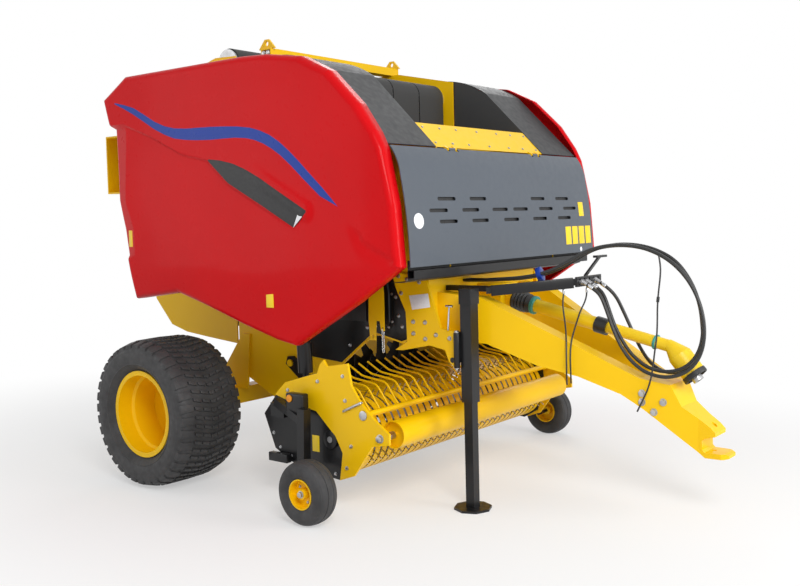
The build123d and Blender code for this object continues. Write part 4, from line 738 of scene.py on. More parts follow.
def blank_plate(wide: float, high: float) -> bmesh.types.BMesh:
    """Returns a thin blank plate round the origin, its face along Z."""
    return block((wide, high, LABEL_THICK), LABEL_EDGE)


def round_off(
    unit: bmesh.types.BMesh, edges: Sequence[bmesh.types.BMEdge], edge: float, steps: int = 2
) -> None:
    """Rounds some edges of a unit off.

    Args:
        unit: The unit's mesh.
        edges: The edges.
        edge: The rounding's radius, in millimetres.
        steps: How many faces it has.
    """
    bmesh.ops.bevel(
        unit, geom=list(edges), offset=edge * MM, segments=steps, affect="EDGES", profile=0.5, material=-1
    )


def round_bar(radius: float, length: float, sides: int = 24, edge: float = 0.0) -> bmesh.types.BMesh:
    """Makes a bar that stands on the origin along Z.

    Args:
        radius: Its radius, in millimetres.
        length: Its length, in millimetres.
        sides: How many sides it has.
        edge: How far its ends' edges are rounded.

    Returns:
        The bar.
    """
    unit = bmesh.new()
    bmesh.ops.create_cone(
        unit,
        cap_ends=True,
        segments=sides,
        radius1=radius * MM,
        radius2=radius * MM,
        depth=length * MM,
    )
    bmesh.ops.translate(unit, vec=(0, 0, length * MM / 2), verts=unit.verts)
    if edge:
        rims = [e for e in unit.edges if any(len(f.verts) > 4 for f in e.link_faces)]
        round_off(unit, rims, edge)
    return unit


def turned(section: Line, steps: int = 48) -> bmesh.types.BMesh:
    """Spins a closed section about Z.

    Args:
        section: Its corners as (along, radius), in millimetres.
        steps: How many steps a turn has.

    Returns:
        The turned unit.
    """
    unit = bmesh.new()
    verts = [unit.verts.new((radius * MM, 0, along * MM)) for along, radius in section]
    edges = [unit.edges.new(pair) for pair in zip(verts, [*verts[1:], verts[0]])]
    bmesh.ops.spin(
        unit,
        geom=[*verts, *edges],
        axis=(0, 0, 1),
        cent=(0, 0, 0),
        angle=math.tau,
        steps=steps,
        use_merge=True,
    )
    bmesh.ops.remove_doubles(unit, verts=unit.verts, dist=0.02 * MM)
    bmesh.ops.recalc_face_normals(unit, faces=unit.faces)
    return unit


def plate(outline: Line, thick: float, edge: float = 0.0) -> bmesh.types.BMesh:
    """Makes a flat plate that stands on the XY plane.

    Args:
        outline: Its corners in X and Y, in millimetres.
        thick: Its thickness along Z.
        edge: How far its upper edges are rounded.

    Returns:
        The plate.
    """
    unit = bmesh.new()
    foot = unit.faces.new([unit.verts.new((x * MM, y * MM, 0)) for x, y in outline])
    grown = bmesh.ops.extrude_face_region(unit, geom=[foot], use_keep_orig=True)
    top = [item for item in grown["geom"] if isinstance(item, bmesh.types.BMVert)]
    bmesh.ops.translate(unit, vec=(0, 0, thick * MM), verts=top)
    bmesh.ops.recalc_face_normals(unit, faces=unit.faces)
    if edge:
        held = set(top)
        round_off(unit, [e for e in unit.edges if held.issuperset(e.verts)], edge)
    return unit


def bent_sheet(path: Line, half: float, thick: float) -> bmesh.types.BMesh:
    """Makes a sheet that follows a side view across the machine, in place.

    Args:
        path: The sheet's line as (ahead, height), in millimetres.
        half: How far it reaches to each side of the middle.
        thick: Its thickness.

    Returns:
        The sheet.
    """
    unit = bmesh.new()
    verts = [unit.verts.new(spot(x, -half, z)) for x, z in path]
    edges = [unit.edges.new(pair) for pair in zip(verts, verts[1:])]
    grown = bmesh.ops.extrude_edge_only(unit, edges=edges)
    far = [item for item in grown["geom"] if isinstance(item, bmesh.types.BMVert)]
    bmesh.ops.translate(unit, vec=(0, 2 * half * MM, 0), verts=far)
    bmesh.ops.recalc_face_normals(unit, faces=unit.faces)
    bmesh.ops.solidify(unit, geom=unit.faces[:], thickness=thick * MM)
    bmesh.ops.recalc_face_normals(unit, faces=unit.faces)
    return unit


def bolt_head(size: float) -> bmesh.types.BMesh:
    """Makes a hexagon head on its washer, standing on the XY plane.

    Args:
        size: The thread's diameter, in millimetres.

    Returns:
        The head and the washer.
    """
    washer = size * 0.18
    unit = round_bar(size * 1.05, washer, 20, size * 0.05)
    head = round_bar(size * 0.86, size * 0.62, 6, size * 0.08)
    bmesh.ops.translate(head, vec=(0, 0, washer * MM), verts=head.verts)
    data = bpy.data.meshes.new("head")
    head.to_mesh(data)
    head.free()
    unit.from_mesh(data)
    bpy.data.meshes.remove(data)
    return unit


def smooth(value: float) -> float:
    """Returns a soft step from 0 to 1."""
    value = min(1.0, max(0.0, value))
    return value * value * (3 - 2 * value)


def height_at(line: Line, x: float) -> float:
    """Finds a line's second number at a place along it.

    Args:
        line: The line, whose first numbers rise.
        x: The first number of the place.

    Returns:
        The second number there, or the nearest end's.
    """
    if x <= line[0][0]:
        return line[0][1]
    for (x0, y0), (x1, y1) in zip(line, line[1:]):
        if x <= x1:
            return y0 + (y1 - y0) * (x - x0) / (x1 - x0)
    return line[-1][1]


def apart(line: Line, x: float, y: float) -> float:
    """Measures how far a point is from a line of straight runs.

    Args:
        line: The line's corners.
        x: The point's first number.
        y: Its second number.

    Returns:
        The least distance.
    """
    least = math.inf
    for (x0, y0), (x1, y1) in zip(line, line[1:]):
        run_x, run_y = x1 - x0, y1 - y0
        share = ((x - x0) * run_x + (y - y0) * run_y) / (run_x * run_x + run_y * run_y)
        share = min(1.0, max(0.0, share))
        least = min(least, math.hypot(x - x0 - share * run_x, y - y0 - share * run_y))
    return least


def inside(outline: Line, x: float, y: float) -> bool:
    """Tells whether a point is within a closed outline.

    Args:
        outline: The outline's corners.
        x: The point's first number.
        y: Its second number.

    Returns:
        True where it is.
    """
    within = False
    for (x0, y0), (x1, y1) in zip(outline, [*outline[1:], outline[0]]):
        if (y0 > y) != (y1 > y) and x < x0 + (x1 - x0) * (y - y0) / (y1 - y0):
            within = not within
    return within


@dataclass
class SideShield:
    """A pressed side cover: a crowned sheet with a rolled lip, a crease, a scoop and a painted stripe."""

    side: Side
    face: float = 1230.0
    depth: float = 112.0
    lip: float = 40.0
    lip_steps: int = 9
    wall: float = 4.0
    pitch: float = 17.0
    scoop_depth: float = 42.0
    outline: Line = (
        (-690, 2725), (-425, 2872), (800, 2872), (1040, 2860), (1340, 2814), (1575, 2702),
        (1802, 2487), (1930, 2310), (1975, 2220), (1995, 2140), (2050, 1890), (2080, 1530),
        (1750, 1320), (1219, 1025), (1058, 1052), (760, 1132), (364, 1254), (100, 1327),
        (-386, 1268), (-442, 1514), (-555, 1990), (-600, 2500),
    )
    scoop: Line = (
        (497, 2225), (616, 2211), (742, 2184), (865, 2140), (1003, 2079),
        (1157, 1996), (1400, 1866), (1285, 1770), (1015, 1909), (694, 2067),
    )
    stripe_top: Line = (
        (-526, 2690), (-411, 2664), (-296, 2633), (-175, 2577), (-54, 2518), (52, 2480), (158, 2457),
        (285, 2446), (409, 2443), (540, 2439), (671, 2432), (795, 2423), (919, 2406), (1008, 2382),
        (1096, 2348), (1180, 2300), (1264, 2238), (1345, 2170), (1425, 2098), (1537, 1998), (1649, 1888),
    )
    stripe_low: Line = (
        (1509, 1954), (1369, 2068), (1278, 2146), (1186, 2216), (1110, 2262), (1034, 2299), (955, 2326),
        (875, 2343), (771, 2352), (667, 2354), (536, 2354), (405, 2360), (280, 2370), (154, 2388),
        (48, 2422), (-57, 2465), (-178, 2527), (-299, 2587), (-413, 2637), (-526, 2680),
    )
    crease: Line = (
        (-394, 2521), (-109, 2424), (217, 2284), (497, 2225), (694, 2067), (1015, 1909), (1285, 1770),
    )
    rear_line: Line = (
        (1538, -462), (1586, -342), (1774, -342), (1978, -432), (2522, -407),
    )
    rear_fall: float = 0.2
    scoop_brow: Line = ((742, 2184), (865, 2140), (1003, 2079), (1157, 1996), (1400, 1866))
    front_fold: Line = ((1666, 1870), (1846, 1665), (2008, 1585))
    plates: Block = ((-398, 1705, 56, 118), (1039, 1322, 66, 118))
    plate_gap: float = 0.4
    # A white streak at the scoop's front end, painted as the highlight on its raised end.
    painted_highlight: Line = ((1342, 1880), (1402, 1866), (1287, 1769))
    painted_highlight_place: tuple[float, float] = (1390, 1850)
    painted_highlight_in: float = 3.5

    def crown(self, x: float, z: float) -> float:
        """Returns how far the sheet curls in toward its top, its foot and its front."""
        curl = 20 * smooth((z - 2480) / 420) + 26 * smooth((1520 - z) / 460)
        return curl + 30 * max(0.0, (x - 1050) / 1000) ** 2

    def rear_slope(self, x: float, z: float) -> float:
        """Returns how far the sheet falls in behind its rear line, between the line's two ends."""
        window = smooth((2535 - z) / 30) * smooth((z - 1545) / 40)
        return window * self.rear_fall * max(0.0, height_at(self.rear_line, z) - x)

    def relief(self, x: float, z: float) -> float:
        """Finds how far the sheet lies in from its outermost plane.

        Args:
            x: How far the place is ahead of the axle, in millimetres.
            z: Its height.

        Returns:
            The depth: the crown and the rear slope, a step down below the crease, a raised brow over
            the scoop and a hollow under the front fold.
        """
        deep = self.crown(x, z) + self.rear_slope(x, z)
        below = height_at(self.crease, x) - z
        fade = (1 - smooth((x - 900) / 500)) * (1 - smooth((below - 60) / 640))
        deep += 15 * smooth(below / 18) * fade
        if below < 0 or x > 1285:
            brow = 1 - smooth((apart(self.scoop_brow, x, z) - 34) / 34)
            deep -= 11 * brow * smooth((x - 780) / 330) * (1 - smooth((x - 1400) / 60))
        if z < height_at(self.front_fold, x):
            fold = 1 - smooth(apart(self.front_fold, x, z) / 90)
            deep += 9 * fold * smooth((x - 1700) / 150)
        return deep

    def slit(self, mesh: bmesh.types.BMesh, start: tuple[float, float], end: tuple[float, float]) -> None:
        """Cuts the faces near a straight run along it.

        Args:
            mesh: The flat drawing, in millimetres.
            start: The run's start.
            end: The run's end.
        """
        reach = self.pitch * 1.6
        near = [
            f for f in mesh.faces if apart((start, end), *f.calc_center_median().xy) < reach
        ]
        parts = {e for f in near for e in f.edges} | {v for f in near for v in f.verts}
        across = Vector((start[1] - end[1], end[0] - start[0], 0))
        bmesh.ops.bisect_plane(
            mesh, geom=[*near, *parts], dist=0.3, plane_co=(*start, 0), plane_no=across.normalized()
        )

    def inner_outline(self) -> list[tuple[Vector, Vector]]:
        """Moves the outline in by the lip.

        Returns:
            Each corner of the moved outline, with the direction that takes it back out.
        """
        corners = [Vector(corner) for corner in self.outline]
        moved = []
        for before, corner, after in zip([corners[-1], *corners], corners, [*corners[1:], corners[0]]):
            one, two = (corner - before).normalized(), (after - corner).normalized()
            out_one, out_two = Vector((-one.y, one.x)), Vector((-two.y, two.x))
            out = (out_one + out_two) / (1 + out_one.dot(out_two))
            moved.append((corner - out * self.lip, out))
        return moved

    def drawing(self, shape: Shape) -> bmesh.types.BMesh:
        """Draws the sheet flat in millimetres, with its outlines cut and its lip drawn out.

        Args:
            shape: The piece whose finishes the faces get.

        Returns:
            The drawing.
        """
        mesh = bmesh.new()
        xs = [x for x, _ in self.outline]
        zs = [z for _, z in self.outline]
        wide, high = max(xs) - min(xs), max(zs) - min(zs)
        bmesh.ops.create_grid(
            mesh, x_segments=int(wide / self.pitch), y_segments=int(high / self.pitch), size=0.5
        )
        bmesh.ops.scale(mesh, vec=(wide, high, 1), verts=mesh.verts)
        bmesh.ops.translate(mesh, vec=(min(xs) + wide / 2, min(zs) + high / 2, 0), verts=mesh.verts)
        inner = self.inner_outline()
        ring = [tuple(corner) for corner, _ in inner]
        far = [
            f
            for f in mesh.faces
            if not inside(ring, *f.calc_center_median().xy)
            and apart([*ring, ring[0]], *f.calc_center_median().xy) > self.pitch * 1.5
        ]
        bmesh.ops.delete(mesh, geom=far, context="FACES")
        stripe = [*self.stripe_top, *self.stripe_low]
        for closed in (ring, list(self.scoop), stripe):
            for start, end in zip(closed, [*closed[1:], closed[0]]):
                self.slit(mesh, start, end)
        for (x0, z0), (x1, z1) in zip(self.crease, self.crease[1:4]):
            for drop in (0, 18):
                self.slit(mesh, (x0, z0 - drop), (x1, z1 - drop))
        for (z0, x0), (z1, x1) in zip(self.rear_line, self.rear_line[1:]):
            self.slit(mesh, (x0, z0), (x1, z1))
        outer = [f for f in mesh.faces if not inside(ring, *f.calc_center_median().xy)]
        bmesh.ops.delete(mesh, geom=outer, context="FACES")
        bmesh.ops.remove_doubles(mesh, verts=mesh.verts, dist=0.6)
        bmesh.ops.dissolve_degenerate(mesh, edges=mesh.edges, dist=0.3)
        red, blue = shape.slot(Finish.COVER_RED), shape.slot(Finish.STRIPE_BLUE)
        for face in mesh.faces:
            face.material_index = blue if inside(stripe, *face.calc_center_median().xy) else red
        self.roll_lip(mesh, inner)
        return mesh

    def roll_lip(self, mesh: bmesh.types.BMesh, inner: Sequence[tuple[Vector, Vector]]) -> None:
        """Draws the sheet's boundary out and back over a quarter round, then back to the cover's depth.

        Args:
            mesh: The flat drawing.
            inner: The inner outline's corners with their outward moves.
        """
        runs = list(zip(inner, [*inner[1:], inner[0]]))

        def outward(place: Vector) -> Vector:
            """Finds the direction out of the outline at a place on it.

            Args:
                place: The place.

            Returns:
                The direction, longer than 1 at a corner.
            """
            for corner, out in inner:
                if (place - corner).length < 1.0:
                    return out
            best = min(runs, key=lambda run: apart((run[0][0][:], run[1][0][:]), *place))
            along = (best[1][0] - best[0][0]).normalized()
            return Vector((-along.y, along.x))

        edges = [edge for edge in mesh.edges if edge.is_boundary]
        rim = {vert for edge in edges for vert in edge.verts}
        moves = {vert: (vert.co.copy(), outward(vert.co.xy)) for vert in rim}
        for step in range(1, self.lip_steps + 2):
            angle = math.pi / 2 * min(1.0, step / self.lip_steps)
            out, down = self.lip * math.sin(angle), self.lip * (1 - math.cos(angle))
            if step > self.lip_steps:
                down = self.depth
            grown = bmesh.ops.extrude_edge_only(mesh, edges=edges)
            fresh = [item for item in grown["geom"] if isinstance(item, bmesh.types.BMVert)]
            edges = [item for item in grown["geom"] if isinstance(item, bmesh.types.BMEdge)]
            edges = [edge for edge in edges if edge.is_boundary]
            near = {(round(vert.co.x, 2), round(vert.co.y, 2)): data for vert, data in moves.items()}
            moves = {}
            for vert in fresh:
                base, away = near[(round(vert.co.x, 2), round(vert.co.y, 2))]
                vert.co = (base.x + away.x * out, base.y + away.y * out, -down)
                moves[vert] = (base, away)

    def press(self, mesh: bmesh.types.BMesh) -> None:
        """Gives the flat drawing its relief, outward along Z.

        Args:
            mesh: The drawing, in millimetres.
        """
        mesh.normal_update()
        bmesh.ops.recalc_face_normals(mesh, faces=mesh.faces)
        if max(mesh.faces, key=lambda face: face.calc_area()).normal.z < 0:
            bmesh.ops.reverse_faces(mesh, faces=mesh.faces)
        for vert in mesh.verts:
            if vert.co.z > -self.depth + 1:
                vert.co.z -= self.relief(vert.co.x, vert.co.y)

    def sink_scoop(self, mesh: bmesh.types.BMesh, finish: int) -> None:
        """Sinks the scoop's floor.

        Args:
            mesh: The pressed sheet, in millimetres.
            finish: The number of the scoop's finish.
        """
        flat = [face for face in mesh.faces if face.normal.z > 0.5]
        pocket = [face for face in flat if inside(self.scoop, *face.calc_center_median().xy)]
        for face in pocket:
            face.material_index = finish
        grown = bmesh.ops.extrude_face_region(mesh, geom=pocket)
        floor = [item for item in grown["geom"] if isinstance(item, bmesh.types.BMVert)]
        bmesh.ops.translate(mesh, vec=(0, 0, -self.scoop_depth), verts=floor)

    def build_skin(self, body: str) -> None:
        """Builds the pressed skin in place of the cover's node.

        Args:
            body: The CAD body that it moves with.
        """
        shape = Shape(f"shield_skin_{self.side.word}", sharp=28.0)
        black = shape.slot(Finish.BLACK_PLASTIC)
        mesh = self.drawing(shape)
        self.press(mesh)
        self.sink_scoop(mesh, black)
        bmesh.ops.scale(mesh, vec=(MM, MM, MM), verts=mesh.verts)
        place = flank(self.side, self.face)
        bmesh.ops.transform(mesh, matrix=place, verts=mesh.verts)
        if place.determinant() < 0:
            bmesh.ops.reverse_faces(mesh, faces=mesh.faces)
        data = bpy.data.meshes.new("skin")
        mesh.to_mesh(data)
        mesh.free()
        shape.mesh.from_mesh(data)
        bpy.data.meshes.remove(data)
        shape.place(body, "cover_red", (f"shield_{self.side.word}",), self.wall)

    def build_plates(self, body: str) -> None:
        """Builds the blank plates and the pale streak at the scoop's end, a painted highlight for the gleam
        on its raised end.

        Args:
            body: The CAD body that they move with.
        """
        shape = Shape(f"shield_plates_{self.side.word}")
        for x, z, wide, high in self.plates:
            tilt = math.atan(self.rear_fall) if x < height_at(self.rear_line, z) else 0.0
            seat = on_flank(self.side, self.face - self.relief(x, z) + self.plate_gap, x, z)
            seat = seat @ Matrix.Rotation(-tilt, 4, "Y")
            shape.add(blank_plate(wide, high), Finish.LABEL_YELLOW, (seat,))
        # The white streak is a painted highlight, laid just inside the sheet at the scoop's end.
        seat = flank(self.side, self.face - self.relief(*self.painted_highlight_place) - self.painted_highlight_in)
        shape.add(plate(self.painted_highlight, 3.0, 0.6), Finish.WHITE_LABEL_AND_HIGHLIGHT, (seat,))
        shape.place(body, "cover_red")

    def build(self) -> None:
        """Builds the cover with its scoop, stripe and blank plates."""
        body = "shield_r" if self.side is Side.RIGHT else "shield_l"
        self.build_skin(body)
        self.build_plates(body)


@dataclass
class MainWheel:
    """A wide flotation tyre with shoulder blocks and rows of V blocks, and the trim of its rim.

    A tread block's corners are (outward, turned along, root radius, top radius).
    """

    side: Side
    middle: float = 1252.0
    radius: float = 511.0
    bead: float = 206.4
    bore: float = 284.6
    sections: int = 108
    flank_curve: Line = (
        (206.5, 299.5), (212, 306), (222, 313), (236, 324), (246, 337), (251, 344), (254.5, 346),
        (254.5, 350), (252.5, 353), (256, 364), (259.5, 380), (261, 398), (260.5, 416), (258, 430),
        (258.5, 434), (256.5, 438), (253, 446), (246, 459), (236, 471), (222, 480), (200, 487),
        (170, 491), (130, 493.5), (80, 495), (0, 496),
    )
    shoulder_blocks: int = 36
    shoulder: Block = ((168, -25, 478, 503), (250, -29, 440, 478), (250, 29, 440, 478), (168, 25, 478, 503))
    shoulder_edge: float = 4.0
    v_blocks: int = 54
    v_rows: Sequence[Block] = (
        ((96, -6, 485, 506), (156, 12, 484, 505), (156, 34, 484, 505), (96, 18, 485, 506)),
        ((30, -20, 488, 508), (86, -4, 487, 507), (86, 16, 487, 507), (30, 2, 488, 508)),
        ((0, -26, 488, 508.5), (22, -20, 488, 508.5), (22, 2, 488, 508.5), (0, -4, 488, 508.5)),
    )
    v_edge: float = 2.0
    nuts: int = 8
    nut_size: float = 18.0
    nut_seat: Point = (110, 0, -71)
    hub_cap: tuple[float, float, float] = (46, 14, -12)
    valve: tuple[float, float] = (6, 42)
    valve_seat: Point = (238, 0, -72)

    def seat(self) -> Matrix:
        """Returns the placement of the wheel's own frame, its Z outward along the axle."""
        return on_flank(self.side, self.middle, 0, self.radius)

    def tread_block(self, corners: Block, edge: float) -> bmesh.types.BMesh:
        """Makes a tread block from its four columns.

        Args:
            corners: The columns, each (outward, turned along, root radius, top radius).
            edge: How far its top edges are rounded.

        Returns:
            The block, at the wheel's top.
        """
        unit = bmesh.new()
        rings = [
            [unit.verts.new((ends[level] * MM, along * MM, out * MM)) for out, along, *ends in corners]
            for level in (0, 1)
        ]
        edges = []
        for ring in rings:
            edges.append([unit.edges.new(pair) for pair in zip(ring, [*ring[1:], ring[0]])])
            unit.faces.new(ring)
        bmesh.ops.bridge_loops(unit, edges=[*edges[0], *edges[1]])
        bmesh.ops.recalc_face_normals(unit, faces=unit.faces)
        top = set(rings[1])
        round_off(unit, [e for e in unit.edges if top & set(e.verts)], edge)
        return unit

    def around(self, count: int, share: float = 0.0, mirrored: bool = False) -> list[Matrix]:
        """Finds placements at even turns of the wheel.

        Args:
            count: How many there are.
            share: How much of a step the first is turned by.
            mirrored: Whether they lie on the wheel's inner half.

        Returns:
            The placements.
        """
        flip = Matrix.Diagonal((1, 1, -1, 1)) if mirrored else Matrix()
        turns = [Matrix.Rotation(math.tau * (k + share) / count, 4, "Z") for k in range(count)]
        return [self.seat() @ turn @ flip for turn in turns]

    def build_tyre(self, body: str) -> None:
        """Builds the tyre with its tread, in place of its node.

        Args:
            body: The CAD body that it moves with.
        """
        shape = Shape(f"tyre_tread_{self.side.word}", sharp=40.0)
        inner = [(-out, radius) for out, radius in reversed(self.flank_curve[:-1])]
        section = [(self.bead, self.bore), *self.flank_curve, *inner, (-self.bead, self.bore)]
        shape.add(turned(section, self.sections), Finish.TYRE, (self.seat(),))
        for mirrored, share in ((False, 0.0), (True, 0.5)):
            unit = self.tread_block(self.shoulder, self.shoulder_edge)
            shape.add(unit, Finish.TYRE, self.around(self.shoulder_blocks, share, mirrored))
        for corners in self.v_rows:
            for mirrored in (False, True):
                unit = self.tread_block(corners, self.v_edge)
                shape.add(unit, Finish.TYRE, self.around(self.v_blocks, mirrored=mirrored))
        shape.place(body, "tyre", (f"tyre_{self.side.word}",))

    def build_trim(self, body: str) -> None:
        """Builds the rim's nuts, the hub cap and the valve.

        Args:
            body: The CAD body that they move with.
        """
        trim = Shape(f"wheel_trim_{self.side.word}")
        nuts = [place @ moved(*self.nut_seat) for place in self.around(self.nuts)]
        trim.add(bolt_head(self.nut_size), Finish.FRAME_YELLOW, nuts)
        radius, thick, out = self.hub_cap
        trim.add(round_bar(radius, thick, 40, 4), Finish.FRAME_YELLOW, (self.seat() @ moved(0, 0, out),))
        valve_seat = self.seat() @ moved(*self.valve_seat)
        trim.add(round_bar(*self.valve, 16, 1.5), Finish.BLACK_PLASTIC, (valve_seat,))
        trim.place(body, "frame_yellow")

    def build(self) -> None:
        """Builds the tyre and the trim."""
        body = f"wheel_{self.side.word}"
        self.build_tyre(body)
        self.build_trim(body)


@dataclass
class GaugeWheel:
    """A small balloon tyre with its hub nut and rim screws."""

    side: Side
    forward: float = 1512.0
    middle: float = 1406.0
    radius: float = 195.0
    bead: float = 62.0
    bore: float = 92.6
    sections: int = 72
    curve: Line = (
        (63, 95), (70, 103), (76.5, 114), (79.5, 128), (80, 142), (78, 156), (73, 168), (66, 177.5),
        (63, 178), (60, 182), (52, 187), (40, 190.5), (28, 192.8), (25, 189), (21, 189), (18, 193.8),
        (0, 194.8),
    )
    hub_nut: float = 21.0
    hub_out: float = 56.0
    screws: int = 5
    screw_size: float = 9.0
    screw_seat: Point = (56, 0, 16)

    def build(self) -> None:
        """Builds the tyre in place of its node, and the metal on its rim."""
        word = self.side.word
        body = f"gauge_wheel_{word}"
        seat = on_flank(self.side, self.middle, self.forward, self.radius)
        shape = Shape(f"gauge_tread_{word}", sharp=40.0)
        inner = [(-out, radius) for out, radius in reversed(self.curve[:-1])]
        section = [(self.bead, self.bore), *self.curve, *inner, (-self.bead, self.bore)]
        shape.add(turned(section, self.sections), Finish.TYRE, (seat,))
        shape.place(body, "tyre", (f"gauge_tyre_{word}",))
        trim = Shape(f"gauge_trim_{word}")
        trim.add(bolt_head(self.hub_nut), Finish.STEEL, (seat @ moved(0, 0, self.hub_out),))
        turns = [Matrix.Rotation(math.tau * k / self.screws, 4, "Z") for k in range(self.screws)]
        screws = [seat @ turn @ moved(*self.screw_seat) for turn in turns]
        trim.add(bolt_head(self.screw_size), Finish.STEEL, screws)
        trim.place(body, "roller_steel")


@dataclass
class HoodTrim:
    """The dark backing behind the hood's slots, and the blank plates on its face."""

    backing: Line = (
        (1955, 2224), (1999, 2158), (2026, 2066), (2044, 1980), (2058, 1880), (2067, 1770), (2076, 1650),
        (2082, 1530),
    )
    backing_half: float = 1040.0
    backing_thick: float = 3.0
    face: Line = (
        (1526, 2100), (1620, 2096.5), (1720, 2090.5), (1830, 2080), (1900, 2071), (1980, 2058), (2066, 2042),
    )
    lift_off: float = 0.2
    plates: Sequence[Patch] = (
        (962, 1845, 70, 104), (745, 1655, 78, 130), (842, 1655, 78, 130), (940, 1655, 78, 130),
        (1038, 1655, 78, 130),
    )
    discs: Sequence[Point] = ((-1000, 1793, 46), (920, 1550, 16))

    def seat(self, across: float, height: float) -> Matrix:
        """Finds the placement on the hood's face at a place, tilted as the face is.

        Args:
            across: How far it lies to the machine's left, in millimetres.
            height: Its height.

        Returns:
            The placement.
        """
        lean = (height_at(self.face, height + 20) - height_at(self.face, height - 20)) / 40
        turn = Matrix.Rotation(math.atan(lean), 4, "X")
        return facing_ahead(height_at(self.face, height) + self.lift_off) @ moved(across, height, 0) @ turn

    def build(self) -> None:
        """Builds the backing and the plates."""
        shape = Shape("hood_backing")
        shape.add(bent_sheet(self.backing, self.backing_half, self.backing_thick), Finish.BLACK_PLASTIC)
        shape.place("hood_body", "black_metal")
        marks = Shape("hood_plates")
        for across, height, wide, high in self.plates:
            marks.add(blank_plate(wide, high), Finish.LABEL_YELLOW, (self.seat(across, height),))
        for across, height, radius in self.discs:
            marks.add(round_bar(radius, 1.6, 48, 0.4), Finish.WHITE_LABEL_AND_HIGHLIGHT, (self.seat(across, height),))
        marks.place("hood_body", "hood_grey")


@dataclass(frozen=True)
class BoltRow:
    """Like bolts on one flat place of the right side, with their mirror images on the left."""

    name: str
    body: str
    size: float
    out: float
    places: Line

    def build(self) -> None:
        """Builds the row as one piece; its places are (ahead, height)."""
        shape = Shape(self.name)
        seats = [pointing(spot(x, -self.out, z), TO_THE_RIGHT) for x, z in self.places]
        shape.add(bolt_head(self.size), Finish.STEEL, [*seats, *[MIRROR @ seat for seat in seats]])
        shape.place(self.body, "roller_steel")


@dataclass
class Fasteners:
    """The bolts and nuts that the machine's plates are held by, in rows of like ones."""

    head_size: float = 22.0
    head_places: Sequence[Point] = (
        (3092, -180.5, 742), (3092, -180.5, 690), (3158, -161, 632), (3210, -146, 694),
    )
    rows: Sequence[BoltRow] = (
        BoltRow(
            "front_plate_bolts", "frame", 14, 650,
            (
                (1630, 1440), (1700, 1420), (1800, 1405), (1650, 1330), (1745, 1150), (1745, 1075),
                (1840, 1150), (1840, 1045), (1925, 1075), (2030, 1060),
            ),
        ),
        BoltRow(
            "drive_case_bolts", "frame", 9, 638,
            (
                (1386, 1140), (1420, 1102), (1530, 1102), (1560, 1140), (1560, 1320), (1386, 1385),
                (1420, 1428), (1542, 1428),
            ),
        ),
        BoltRow(
            "end_plate_bolts", "pickup", 11, 1092,
            ((960, 640), (900, 420), (960, 330), (1060, 285), (1200, 245), (1330, 235), (1450, 225)),
        ),
        BoltRow(
            "cheek_bolts", "pickup", 12, 1108,
            ((1060, 720), (1180, 700), (1330, 800), (1545, 850), (1560, 700), (1600, 420), (1560, 280)),
        ),
        BoltRow("beam_end_bolts", "frame", 16, 700, ((500, 2985), (545, 2985))),
    )

    def build(self) -> None:
        """Builds the hitch head's bolts on its sloping cheeks, and then each row."""
        shape = Shape("head_bolts")
        seats = [pointing(spot(*place), TO_THE_RIGHT) for place in self.head_places]
        shape.add(bolt_head(self.head_size), Finish.STEEL, [*seats, *[MIRROR @ seat for seat in seats]])
        shape.place("frame", "roller_steel")
        for row in self.rows:
            row.build()


@dataclass
class DeckTrim:
    """Two lines of bolts along the sloping deck plate."""

    columns: Sequence[float] = (-600, -420, -240, 0, 240, 420, 600)
    lines: Line = ((1812, 2380), (1916, 2276))
    size: float = 9.0

    def build(self) -> None:
        """Builds the deck's bolts."""
        shape = Shape("deck_bolts")
        slope = Vector((1, 0, 1)).normalized()
        seats = [pointing(spot(x, y, z), slope) for y in self.columns for x, z in self.lines]
        shape.add(bolt_head(self.size), Finish.STEEL, seats)
        shape.place("frame", "roller_steel")


@dataclass(frozen=True)
class Sleeve:
    """A straight sleeve on a hose or a cable, between two places ahead of the axle."""

    start: Point
    end: Point
    radius: float
    finish: Finish

    def add_to(self, shape: Shape) -> None:
        """Adds the sleeve to a piece.

        Args:
            shape: The piece.
        """
        low = spot(*self.start)
        run = spot(*self.end) - low
        shape.add(round_bar(self.radius, run.length / MM, 24, 1.5), self.finish, (pointing(low, run),))


@dataclass
class HoseFittings:
    """Ferrules, sleeves and the tie on the hoses and cables."""

    ferrules: Sequence[Sleeve] = (
        Sleeve((2722, -136, 1371.2), (2754, -136, 1352.3), 13.5, Finish.CHROME),
        Sleeve((2722, -78, 1371.2), (2754, -78, 1352.3), 13.5, Finish.CHROME),
        Sleeve((2722, 38, 1371.2), (2754, 38, 1352.3), 13.5, Finish.CHROME),
        Sleeve((3190.6, -158, 1318), (3188.8, -163, 1286), 9, Finish.BLACK_PLASTIC),
        Sleeve((2660, -40, 1346), (2660, -42, 1318), 8, Finish.CHROME),
        Sleeve((2580, -193, 1349), (2580, -195, 1318), 8, Finish.CHROME),
    )
    tie: Sleeve = Sleeve((2400, -199, 1433.5), (2428, -192, 1442), 47, Finish.STRIPE_BLUE)

    def build(self) -> None:
        """Builds the fittings."""
        shape = Shape("hose_fittings")
        for ferrule in self.ferrules:
            ferrule.add_to(shape)
        shape.place("frame", "rod_chrome")
        ties = Shape("hose_ties")
        self.tie.add_to(ties)
        ties.place("frame", "hose_rubber")


